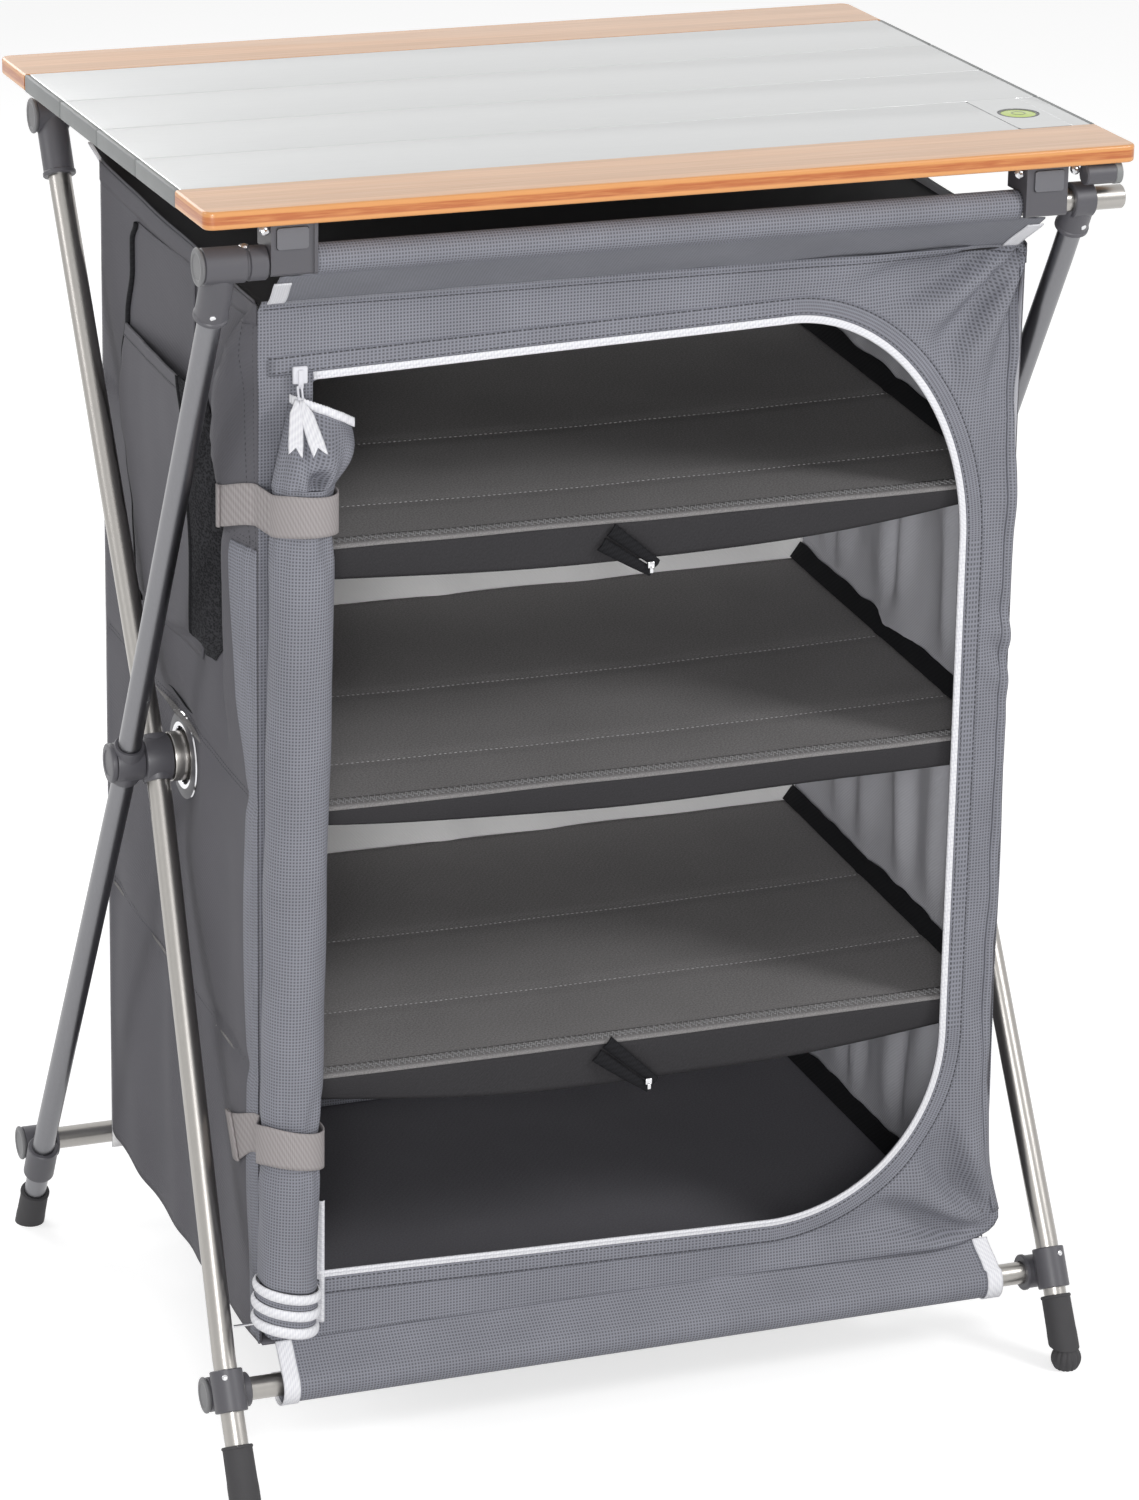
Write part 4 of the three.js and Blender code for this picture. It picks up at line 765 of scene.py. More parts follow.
@dataclass
class TableTop:
    """Four aluminium slats with plastic end caps between two bamboo planks."""

    length: float = 0.800
    top: float = 1.105
    thickness: float = 0.015
    slat_depth: float = 0.1087
    slat_gap: float = 0.0008
    cap_length: float = 0.004
    cap_groove: float = 0.0007
    cap_inset: float = 0.0007
    plank_depth: float = 0.0786
    corner_radius: float = 0.009
    edge_radius: float = 0.0024
    level_place: Point = (0.3546, -0.16425)
    level_radius: float = 0.0175

    def build(self) -> None:
        """Builds the slats, the level and the planks."""
        for index in range(4):
            self.build_slat(index)
        self.build_level()
        for end, sign in (("front", -1), ("rear", 1)):
            self.build_plank(end, sign)

    def build_slat(self, index: int) -> None:
        """One hollow slat, drawn as its outside, with its two caps set off by a dark groove.

        Args:
            index: The slat's number from the front, from 0.
        """
        pitch = self.slat_depth + self.slat_gap
        front = -2 * pitch + self.slat_gap / 2 + index * pitch
        back, low = front + self.slat_depth, self.top - self.thickness
        half = self.length / 2
        inner = half - self.cap_length - self.cap_groove
        shrink = 0.0008
        bm = bmesh.new()
        if index == 0:
            self.add_bored_slat(bm, front, back, low, inner)
        else:
            rounded_block(bm, (-inner, front, low), (inner, back, self.top), 0.0009, 3, 0)
        for side in Side:
            ends = sorted((side.value * (half - self.cap_length), side.value * half))
            rounded_block(
                bm, (ends[0], front + self.cap_inset, low), (ends[1], back - self.cap_inset, self.top), 0.0015, 3, 1
            )
            core = sorted((side.value * (inner - 0.001), side.value * (half - 0.001)))
            rounded_block(
                bm, (core[0], front + shrink, low + shrink), (core[1], back - shrink, self.top - shrink), 0.0004, 1, 2
            )
        name = f"slat_{index + 1}"
        piece = finished(f"{name}_dressed", bm, (SLAT_METAL, SLAT_CAP, BLACK_PLASTIC), name, (name,))

    def add_bored_slat(self, bm: bmesh.types.BMesh, front: float, back: float, low: float, inner: float) -> None:
        """The first slat's body, with the round seat of the bubble level cut in its top.

        Args:
            bm: The mesh to add to.
            front: The slat's front edge.
            back: Its rear edge.
            low: Its underside.
            inner: How far it reaches to each side.
        """
        rounded_block(bm, (-inner, front, low), (inner, back, self.top - 0.0061), 0.0009, 3, 0)
        x, y = self.level_place
        half = 0.024
        low_x, high_x = x - half, x + half
        rounded_block(bm, (-inner, front, self.top - 0.008), (low_x, back, self.top), 0.0009, 3, 0)
        rounded_block(bm, (high_x, front, self.top - 0.008), (inner, back, self.top), 0.0009, 3, 0)
        outer = [(low_x, front), (high_x, front), (high_x, back), (low_x, back)]

        def place(across: float, deep: float) -> Vector:
            """A point of the slat's top."""
            return Vector((across, deep, self.top))

        ringed_sheet(bm, 96, 2, (x, y), self.level_radius + 0.0003, outer, place, (0.1, 0.1))

    def build_level(self) -> None:
        """The round bubble level: a clear window in a dark rim over green fluid, with a small raised ring in its
        middle.
        """
        x, y = self.level_place
        bm = bmesh.new()
        r, top = self.level_radius, self.top
        turned(
            bm, [(0, -0.006), (r, -0.006), (r, -0.0004), (r - 0.0004, 0), (r - 0.0022, 0), (r - 0.0024, -0.0006)],
            (x, y, top), (0, 0, 1), finish=1
        )
        dome = [(r - 0.0024, -0.0006), (0.010, -0.0001), (0.005, 0.0000), (0, 0.0001)]
        turned(bm, dome, (x, y, top), (0, 0, 1), finish=0)
        ring = [(0.0052, 0.0000), (0.0056, 0.0002), (0.0060, 0.0000)]
        turned(bm, ring, (x, y, top), (0, 0, 1), finish=1)
        piece = finished(
            "bubble_level_dressed", bm, (LEVEL_FLUID, CAP_PLASTIC), "slat_1", ("bubble_level",), "level_vial"
        )
        piece.data.set_sharp_from_angle(angle=math.radians(50))

    def build_plank(self, end: str, sign: int) -> None:
        """A bamboo plank with rounded outer corners and eased edges; its edges show the layers.

        Args:
            end: Whether it is the front or the rear one.
            sign: The sign of its Y.
        """
        inner = 2 * (self.slat_depth + self.slat_gap) + self.slat_gap / 2
        outer = inner + self.plank_depth
        half = self.length / 2
        near, far = sorted((sign * inner, sign * outer))
        bm = bmesh.new()
        verts = bmesh.ops.create_cube(bm, size=1.0)["verts"]
        bmesh.ops.scale(bm, vec=(2 * half, far - near, self.thickness), verts=verts)
        bmesh.ops.translate(bm, vec=(0, (near + far) / 2, self.top - self.thickness / 2), verts=verts)
        corners = [
            edge
            for edge in bm.edges
            if all(abs(v.co.y - sign * outer) < 1e-6 for v in edge.verts)
            and abs(edge.verts[0].co.z - edge.verts[1].co.z) > 1e-6
        ]
        bmesh.ops.bevel(
            bm, geom=corners, offset=self.corner_radius, segments=10, profile=0.5, affect="EDGES", material=-1
        )
        rims = [
            edge
            for edge in bm.edges
            if abs(edge.verts[0].co.z - edge.verts[1].co.z) < 1e-6
            and not all(abs(v.co.y - sign * inner) < 1e-6 for v in edge.verts)
        ]
        bmesh.ops.bevel(bm, geom=rims, offset=self.edge_radius, segments=4, profile=0.5, affect="EDGES", material=-1)
        bm.normal_update()
        for face in bm.faces:
            face.material_index = 0 if abs(face.normal.z) > 0.85 else 1
        node = f"plank_{end}"
        finished(f"{node}_dressed", bm, (BAMBOO, BAMBOO_SIDE), node, (node,), "bamboo")


def reach(outline: Sequence[Point], centre: Point, angle: float) -> float:
    """Measures how far an outline lies from a point inside it, in one direction.

    Args:
        outline: The closed outline's points.
        centre: The point inside.
        angle: The direction, in radians.

    Returns:
        The distance to the nearest crossing.
    """
    dx, dz = math.cos(angle), math.sin(angle)
    found = []
    for (ax, az), (bx, bz) in zip(outline, [*outline[1:], outline[0]]):
        ex, ez = bx - ax, bz - az
        cross = dx * ez - dz * ex
        if abs(cross) < 1e-12:
            continue
        from_x, from_z = ax - centre[0], az - centre[1]
        along = (from_x * ez - from_z * ex) / cross
        share = (from_x * dz - from_z * dx) / cross
        if along > 0 and -1e-9 <= share <= 1 + 1e-9:
            found.append(along)
    return min(found)


# Frames


@dataclass
class CrossedFrame:
    """One crossed frame: an outer and an inner leg, a top and a bottom bar and their connectors."""

    letter: str
    tilt: Tilt
    outer_side: Side
    tube: Finish
    stub: bool
    knob: bool
    outer_leg: float = 0.380
    outer_foot: float = 0.3905
    inner_leg_hub: float = 0.355
    inner_leg_top: float = 0.362
    inner_foot: float = 0.373
    sleeve_radius: float = 0.01475
    socket_radius: float = 0.0135
    socket_length: float = 0.055
    cap_radius: float = 0.0155

    @property
    def body(self) -> str:
        """The CAD body of the frame."""
        return f"frame_{self.letter}"

    def world(self) -> Matrix:
        """From the frame's upright drawing to its place."""
        return Matrix.Translation((0, 0, HUB_HEIGHT)) @ Matrix.Rotation(self.tilt.value * LEAN, 4, "X")

    def node(self, piece: str, side: Side) -> str:
        """The CAD node's name of a piece at one side."""
        return f"{piece}_{self.letter}_{side.name.lower()}"

    def add(self, bm: bmesh.types.BMesh, node: str, finishes: Sequence[Finish], slot: str) -> None:
        """Moves a mesh from the drawing to its place and finishes it."""
        bmesh.ops.transform(bm, matrix=self.world(), verts=bm.verts)
        finished(f"{node}_dressed", bm, finishes, self.body, (node,), slot)

    def build(self) -> None:
        """Builds the legs, bars, connectors and feet."""
        inner_side = Side(-self.outer_side.value)
        legs = (
            (self.outer_side, self.outer_leg, self.outer_leg, self.outer_foot),
            (inner_side, self.inner_leg_top, self.inner_leg_hub, self.inner_foot)
        )
        for side, top_x, hub_x, foot_x in legs:
            self.build_leg(side, top_x, hub_x, foot_x)
        self.build_bars()
        spans = {
            self.outer_side: ((0.361, 0.396), (0.374, 0.402)),
            inner_side: ((0.352, 0.371) if self.stub else (0.348, 0.376), (0.350, 0.386))
        }
        for side, top_x, hub_x, foot_x in legs:
            outer = side is self.outer_side
            stubbed = self.stub and not outer
            socket = 0.031 if stubbed else self.socket_length
            self.build_top_tee(side, top_x, spans[side][0], not stubbed, outer, socket)
            self.build_bottom_tee(side, foot_x, spans[side][1], flanged=outer)
            self.build_hub_sleeve(side, outer)
            self.build_foot(side, foot_x, lifted=self.knob and outer)
        if self.knob:
            self.build_knob()

    def build_leg(self, side: Side, top_x: float, hub_x: float, foot_x: float) -> None:
        """A leg of round tube with its slight bends, from the foot to the top connector.

        Args:
            side: The end of the kitchen.
            top_x: How far out it is at the top connector.
            hub_x: And at the hub.
            foot_x: And at the foot.
        """
        low = -HUB_HEIGHT / math.cos(LEAN) + (0.034 if self.knob and side is self.outer_side else 0.012)
        stations = [
            (low, foot_x), (-BOTTOM_TEE_RUN + 0.0275, foot_x), (-0.035, hub_x), (-0.015, hub_x), (0.015, hub_x),
            (0.035, hub_x), (LEG_RISE - 0.066, top_x), (LEG_RISE - 0.0115, top_x)
        ]
        bm = bmesh.new()
        ring = bmesh.ops.create_circle(bm, cap_ends=False, radius=TUBE_RADIUS, segments=32)["verts"]
        bmesh.ops.translate(bm, vec=(side.value * stations[0][1], 0, stations[0][0]), verts=ring)
        edges = list({edge for vert in ring for edge in vert.link_edges})
        for (z, x), (next_z, next_x) in zip(stations, stations[1:]):
            made = bmesh.ops.extrude_edge_only(bm, edges=edges)["geom"]
            verts = [item for item in made if isinstance(item, bmesh.types.BMVert)]
            edges = [item for item in made if isinstance(item, bmesh.types.BMEdge)]
            bmesh.ops.translate(bm, vec=(side.value * (next_x - x), 0, next_z - z), verts=verts)
        self.add(bm, self.node("leg", side), (self.tube,), "tube_grey" if self.letter == "a" else "tube_aluminium")

    def add_bar(self, bm: bmesh.types.BMesh, start: float, end: float, y: float, z: float) -> None:
        """A straight tube along X with slightly broken ends."""
        r, b = TUBE_RADIUS, 0.0006
        profile = [(0, start), (r - b, start), (r, start + b), (r, end - b), (r - b, end), (0, end)]
        turned(bm, profile, (0, y, z), (1, 0, 0), 32)

    def build_bars(self) -> None:
        """The top and the bottom bar."""
        s = self.outer_side.value
        inner_end = 0.399 if self.stub else 0.374
        top = bmesh.new()
        self.add_bar(top, *sorted((s * 0.394, -s * inner_end)), 0, LEG_RISE)
        self.add(top, f"top_bar_{self.letter}", (BRIGHT_TUBE,), "tube_aluminium")
        low = bmesh.new()
        self.add_bar(low, *sorted((s * 0.400, -s * 0.384)), BOTTOM_BAR_OFFSET, -BOTTOM_TEE_RUN)
        self.add(low, f"bottom_bar_{self.letter}", (BRIGHT_TUBE,), "tube_aluminium")

    def sleeve_profile(self, start: float, end: float, radius: float, capped: bool, open_start: bool) -> list[Point]:
        """The outside of a connector's sleeve, from its inner end to its cap, and its broken edges.

        Args:
            start: The inner end, along the bar.
            end: The outer end.
            radius: Of the sleeve.
            capped: Whether its outer end is closed.
            open_start: Whether its inner end shows its bore.

        Returns:
            Rows of radius and distance along the bar.
        """
        b = 0.0009
        hole = TUBE_RADIUS + 0.0002
        first = [(hole, start + 0.004), (hole, start), (radius - b, start)] if open_start else [(0, start)]
        profile = [*first, (radius, start + b), (radius, end - b), (radius - b, end)]
        if not capped:
            return [*profile, (hole, end), (hole, end - 0.004)]
        groove, cap = radius - 0.0013, self.cap_radius
        face = end + 0.0011 + 0.0028
        return [
            *profile, (groove, end + 0.0001), (groove, end + 0.0011), (cap - 0.0004, end + 0.0012),
            (cap, end + 0.0017), (cap, face - 0.0011), (cap - 0.0006, face - 0.0004), (cap - 0.0022, face),
            (cap - 0.0046, face - 0.0002), (cap - 0.0052, face - 0.0007), (0, face - 0.0006)
        ]

    def build_top_tee(
        self, side: Side, leg_x: float, span: Point, capped: bool, spacer: bool, socket_length: float
    ) -> None:
        """The connector between a leg and the top bar, with its riveted socket.

        Args:
            side: The end of the kitchen.
            leg_x: The leg's distance from the middle.
            span: Where the sleeve starts and ends.
            capped: Whether the sleeve ends in a cap.
            spacer: Whether a spacer stands between it and the clip.
            socket_length: How far the socket reaches down the leg.
        """
        bm = bmesh.new()
        axis, s = (side.value, 0, 0), side.value
        profile = self.sleeve_profile(span[0], span[1], self.sleeve_radius, capped, True)
        cap_from = 7 if capped else len(profile)
        turned(bm, profile[:cap_from], (0, 0, LEG_RISE), axis, 48)
        if capped:
            turned(bm, profile[cap_from - 1 :], (0, 0, LEG_RISE), axis, 48, 1)
        if spacer:
            r, b, hole = 0.014, 0.0009, 0.0102
            ring = [(hole, 0.3476), (hole, 0.3436), (r - b, 0.3436), (r, 0.3445), (r, 0.3582), (r - b, 0.359)]
            turned(bm, [*ring, (r - 0.0013, 0.3591), (r - 0.0013, 0.3612)], (0, 0, LEG_RISE), axis, 48)
        low, r, lip = LEG_RISE - socket_length, self.socket_radius, 0.0144
        hole = TUBE_RADIUS + 0.0002
        socket = [
            (hole, low + 0.004), (hole, low), (lip - 0.0008, low), (lip, low + 0.0008), (lip, low + 0.0034),
            (r, low + 0.0044), (r, LEG_RISE - 0.004)
        ]
        turned(bm, socket, (s * leg_x, 0, 0), (0, 0, 1), 48)
        self.add_rivet(bm, Vector((s * leg_x, 0, low + 0.011)), Vector((s * 0.25, -self.tilt.value, 0)), r)
        self.add(bm, self.node("top_tee", side), (BLACK_PLASTIC, CAP_PLASTIC, CHROME), "black_plastic")

    def add_rivet(self, bm: bmesh.types.BMesh, axis_point: Vector, way: Vector, radius: float) -> None:
        """A small domed rivet head on the outside of a round socket."""
        way = way.normalized()
        start = axis_point + way * (radius - 0.0004)
        turned(bm, [(0.0026, 0), (0.0024, 0.0008), (0.0014, 0.0013), (0, 0.0014)], start, way, 16, 2)

    def build_bottom_tee(self, side: Side, leg_x: float, span: Point, flanged: bool) -> None:
        """The connector between a leg and the bottom bar: a sleeve beside a short sleeve on the leg.

        Args:
            side: The end of the kitchen.
            leg_x: How far out the leg is.
            span: Where the sleeve on the bar starts and ends.
            flanged: Whether it has a flange beside the leg.
        """
        bm = bmesh.new()
        s, y, z = side.value, BOTTOM_BAR_OFFSET, -BOTTOM_TEE_RUN
        axis = (s, 0, 0)
        profile = self.sleeve_profile(span[0], span[1], self.sleeve_radius, True, True)
        turned(bm, profile[:7], (0, y, z), axis, 48)
        turned(bm, profile[6:], (0, y, z), axis, 48, 1)
        if flanged:
            a, r, hole = span[0] - 0.003, 0.016, 0.0102
            flange = [(hole, a + 0.002), (hole, a), (r - 0.0006, a), (r, a + 0.0006), (r, span[0]), (0.0145, span[0])]
            turned(bm, flange, (0, y, z), axis, 48)
        half, r, hole, b = 0.018, 0.014, 0.0102, 0.0008
        sleeve = [(hole, -half + 0.003), (hole, -half), (r - b, -half), (r, -half + b), (r, half - b)]
        sleeve += [(r - b, half), (hole, half), (hole, half - 0.003)]
        turned(bm, sleeve, (s * leg_x, 0, z), (0, 0, 1), 48)
        self.add_rivet(bm, Vector((s * leg_x, 0, z + 0.011)), Vector((s * 0.4, self.tilt.value, 0)), r)
        self.add(bm, self.node("bottom_tee", side), (BLACK_PLASTIC, CAP_PLASTIC, CHROME), "black_plastic")

    def build_hub_sleeve(self, side: Side, outer: bool) -> None:
        """The sleeve on the leg at the crossing: a drum across, and a saddle up and down the leg.

        Args:
            side: The end of the kitchen.
            outer: Whether it is on the frame's outer leg.
        """
        start, end, r = (0.3672, 0.392, 0.017) if outer else (0.343, 0.3668, 0.020)
        b = 0.0015
        bm = bmesh.new()
        drum = [(0, start), (r - b, start), (r - b * 0.3, start + b * 0.3), (r, start + b)]
        drum += [(r, end - b), (r - b * 0.3, end - b * 0.3), (r - b, end), (0, end)]
        turned(bm, drum, (0, 0, 0), (side.value, 0, 0), 48)
        x = self.outer_leg if outer else self.inner_leg_hub
        saddle = [(0.0102, -0.020), (0.0125, -0.020), (0.0135, -0.018), (0.0138, 0), (0.0135, 0.018), (0.0125, 0.020)]
        turned(bm, [*saddle, (0.0102, 0.020)], (side.value * x, 0, 0), (0, 0, 1), 40)
        self.add(bm, self.node("hub_sleeve", side), (BLACK_PLASTIC,), "black_plastic")

    def build_foot(self, side: Side, foot_x: float, lifted: bool) -> None:
        """A rubber foot, cut level with the ground or with the knob under it.

        Args:
            side: The end of the kitchen.
            foot_x: How far out it stands.
            lifted: Whether the knob is under it.
        """
        cut = 0.019 if lifted else 0.0
        end = -(HUB_HEIGHT - cut) / math.cos(LEAN)
        top, r, neck = end + 0.045, 0.0134, 0.0128
        bm = bmesh.new()
        outline = [(0, end - 0.02), (r, end - 0.02), (r, end + 0.010), (r - 0.0003, end + 0.016), (neck, top - 0.003)]
        outline += [(neck + 0.0007, top - 0.0024), (neck + 0.0007, top - 0.0008), (neck, top), (0.0101, top)]
        turned(bm, outline, (side.value * foot_x, 0, 0), (0, 0, 1), 48)
        bmesh.ops.transform(bm, matrix=self.world(), verts=bm.verts)
        cut_made = bmesh.ops.bisect_plane(
            bm, geom=[*bm.verts, *bm.edges, *bm.faces], plane_co=(0, 0, cut), plane_no=(0, 0, -1), clear_outer=True
        )["geom_cut"]
        rim = [item for item in cut_made if isinstance(item, bmesh.types.BMEdge)]
        bmesh.ops.edgeloop_fill(bm, edges=rim)
        bmesh.ops.transform(bm, matrix=self.world().inverted(), verts=bm.verts)
        self.add(bm, self.node("foot", side), (RUBBER,), "rubber")

    def build_knob(self) -> None:
        """The ribbed levelling knob, which stands level on the ground, and its stud."""
        s, r, half = self.outer_side.value, 0.0135, 0.00935
        run = -(HUB_HEIGHT - half) / math.cos(LEAN)
        bm = bmesh.new()
        steps = 10
        swing = math.asin(half / r)
        profile = [(0, -half), (r * math.cos(swing) - 0.002, -half)]
        for i in range(steps + 1):
            angle = -swing + 2 * swing * i / steps
            profile.append((r * math.cos(angle), r * math.sin(angle)))
        profile += [(r * math.cos(swing) - 0.002, half), (0, half)]
        turned(bm, profile, (0, 0, 0), (0, 0, 1), 112)
        for vert in bm.verts:
            away = math.hypot(vert.co.x, vert.co.y)
            if away > 0.006:
                rib = 0.5 + 0.5 * math.cos(14 * math.atan2(vert.co.y, vert.co.x))
                share = 1 - 0.075 * (1 - rib) ** 2
                vert.co.x, vert.co.y = vert.co.x * share, vert.co.y * share
        lean_back = Matrix.Rotation(-self.tilt.value * LEAN, 4, "X")
        place = Matrix.Translation((s * self.outer_foot, 0, run))
        bmesh.ops.transform(bm, matrix=place @ lean_back, verts=bm.verts)
        stud = [(0, 0), (0.004, 0), (0.004, half + 0.024), (0, half + 0.024)]
        turned(bm, stud, (s * self.outer_foot, 0, run), (0, 0, 1), 20, 1)
        bmesh.ops.transform(bm, matrix=self.world(), verts=bm.verts)
        finished(
            "levelling_knob_dressed", bm, (RUBBER, CHROME), "levelling_knob", ("levelling_knob",), "black_plastic"
        )


@dataclass
class Hub:
    """The crossbar between the sides, its end caps and the eyelets in the cloth."""

    collar: tuple[float, float, float] = (0.326, 0.3427, 0.0215)

    def build(self) -> None:
        """Builds the crossbar, the axle caps and the eyelets."""
        self.build_crossbar()
        for side in Side:
            self.build_axle(side)
            self.build_eyelet(side)

    def build_crossbar(self) -> None:
        """The aluminium tube with a turned collar at each end."""
        start, end, r = self.collar
        b = 0.0012
        half = [
            (TUBE_RADIUS, 0), (TUBE_RADIUS, start), (r - b, start), (r - 0.0003, start + 0.0003), (r, start + b),
            (r, end - b), (r - 0.0003, end - 0.0003), (r - b, end), (0, end)
        ]
        bm = bmesh.new()
        for sign in (-1, 1):
            turned(bm, half, (0, 0, HUB_HEIGHT), (sign, 0, 0), 48)
        finished("centre_crossbar_dressed", bm, (BRIGHT_TUBE,), "cabinet", ("centre_crossbar",), "tube_aluminium")

    def build_axle(self, side: Side) -> None:
        """The pivot bolt and its round plastic cap with a shallow dish.

        Args:
            side: The end of the kitchen.
        """
        start, r = 0.3923, 0.017
        end = start + 0.0047
        bolt = [(0, 0.300), (0.004, 0.300), (0.004, start), (r - 0.0004, start), (r, start + 0.0004)]
        bolt += [(r, end - 0.0012), (r - 0.0005, end - 0.0004), (r - 0.0018, end), (r - 0.0052, end)]
        bolt += [(r - 0.0058, end - 0.0008), (0, end - 0.0006)]
        bm = bmesh.new()
        turned(bm, bolt, (0, 0, HUB_HEIGHT), (side.value, 0, 0), 48)
        node = f"hub_axle_{side.name.lower()}"
        finished(f"{node}_dressed", bm, (BLACK_PLASTIC,), "cabinet", (node,), "black_plastic")

    def build_eyelet(self, side: Side) -> None:
        """A rolled metal ring through the side wall.

        Args:
            side: The end of the kitchen.
        """
        outer, inner = 0.3293, 0.3267
        bm = bmesh.new()
        ring = [(0.0268, inner), (0.031, inner), (0.031, inner - 0.0012), (0.0285, inner - 0.0018)]
        ring += [(0.0252, inner - 0.0012), (0.0248, inner), (0.0248, outer), (0.0254, outer + 0.0014)]
        ring += [(0.029, outer + 0.0022), (0.034, outer + 0.0018), (0.0378, outer + 0.0011), (0.0385, outer)]
        ring += [(0.0268, outer), (0.0268, inner)]
        for face in turned(bm, ring, (0, 0, HUB_HEIGHT), (side.value, 0, 0), 64):
            spot = face.calc_center_median()
            away = math.hypot(spot.y, spot.z - HUB_HEIGHT)
            face.material_index = 1 if 0.0285 < away < 0.0365 else 0
        node = f"eyelet_{side.name.lower()}"
        finished(f"{node}_dressed", bm, (CHROME, BLACK_PLASTIC), "cabinet", (node,), "chrome")


@dataclass
class Clips:
    """What holds the table on the bars: hooks with push buttons, which keep their CAD shapes."""

    edge: float = 0.0006
    screws: tuple[tuple[float, float, float, str], ...] = (
        (-0.361, -0.2735, 1.0702, "frame_a"), (-0.347, -0.284, 1.0845, "plank_front"),
        (0.3505, -0.284, 1.0845, "plank_front"), (0.3005, -0.284, 1.0845, "plank_front")
    )

    def build(self) -> None:
        """Dresses the CAD clips and buttons, and adds the screws and the stop beside the right clip."""
        for end in ("front", "rear"):
            for side in ("left", "right"):
                self.dress(f"clip_{end}_{side}", BLACK_PLASTIC)
                self.dress(f"button_{end}_{side}", BUTTON_PLASTIC)
        for index, (x, y, z, body) in enumerate(self.screws):
            self.build_screw(index, Vector((x, y, z)), body)
        self.build_stop()

    def dress(self, node: str, finish: Finish) -> None:
        """Gives a CAD node its finish and breaks its edges.

        Args:
            node: The node's name.
            finish: Its finish.
        """
        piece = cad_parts[node]
        piece.data.materials.clear()
        piece.data.materials.append(finish.build())
        weld = piece.modifiers.new("weld", "WELD")
        weld.merge_threshold = 1e-5
        bevel = piece.modifiers.new("broken_edges", "BEVEL")
        bevel.width, bevel.segments = self.edge, 2
        bevel.limit_method, bevel.angle_limit = "ANGLE", math.radians(32)
        bevel.harden_normals = False
        normals = piece.modifiers.new("normals", "WEIGHTED_NORMAL")
        normals.keep_sharp = True

    def build_screw(self, index: int, place: Vector, body: str) -> None:
        """A pan-head screw, seen from the side under the plank.

        Args:
            index: Its number.
            place: Where it is.
            body: The body that it rides on.
        """
        bm = bmesh.new()
        head = [(0, -0.0045), (0.0022, -0.0045), (0.0022, -0.0014), (0.0042, -0.0014), (0.0045, -0.0004)]
        head += [(0.0036, 0.0012), (0.0016, 0.0018), (0.0007, 0.0012), (0, 0.0012)]
        turned(bm, head, place, (0, 0, 1) if body == "frame_a" else (0, -1, 0.4), 20)
        finished(f"screw_{index + 1}", bm, (CHROME,), body, slot="chrome")

    def build_stop(self) -> None:
        """A short round stop under the plank's right end, with a paler end cap."""
        bm = bmesh.new()
        centre = (0, -0.287, 1.0806)
        r = 0.0092
        turned(bm, [(0, 0.357), (r - 0.001, 0.357), (r, 0.358), (r, 0.383)], centre, (1, 0, 0), 32)
        cap = [(r, 0.383), (r + 0.0006, 0.3835), (r + 0.0006, 0.3885), (r - 0.001, 0.389), (0, 0.389)]
        turned(bm, cap, centre, (1, 0, 0), 32, 1)
        finished("plank_stop", bm, (BLACK_PLASTIC, SLAT_CAP), "plank_front", slot="black_plastic")


# Cloth cabinet


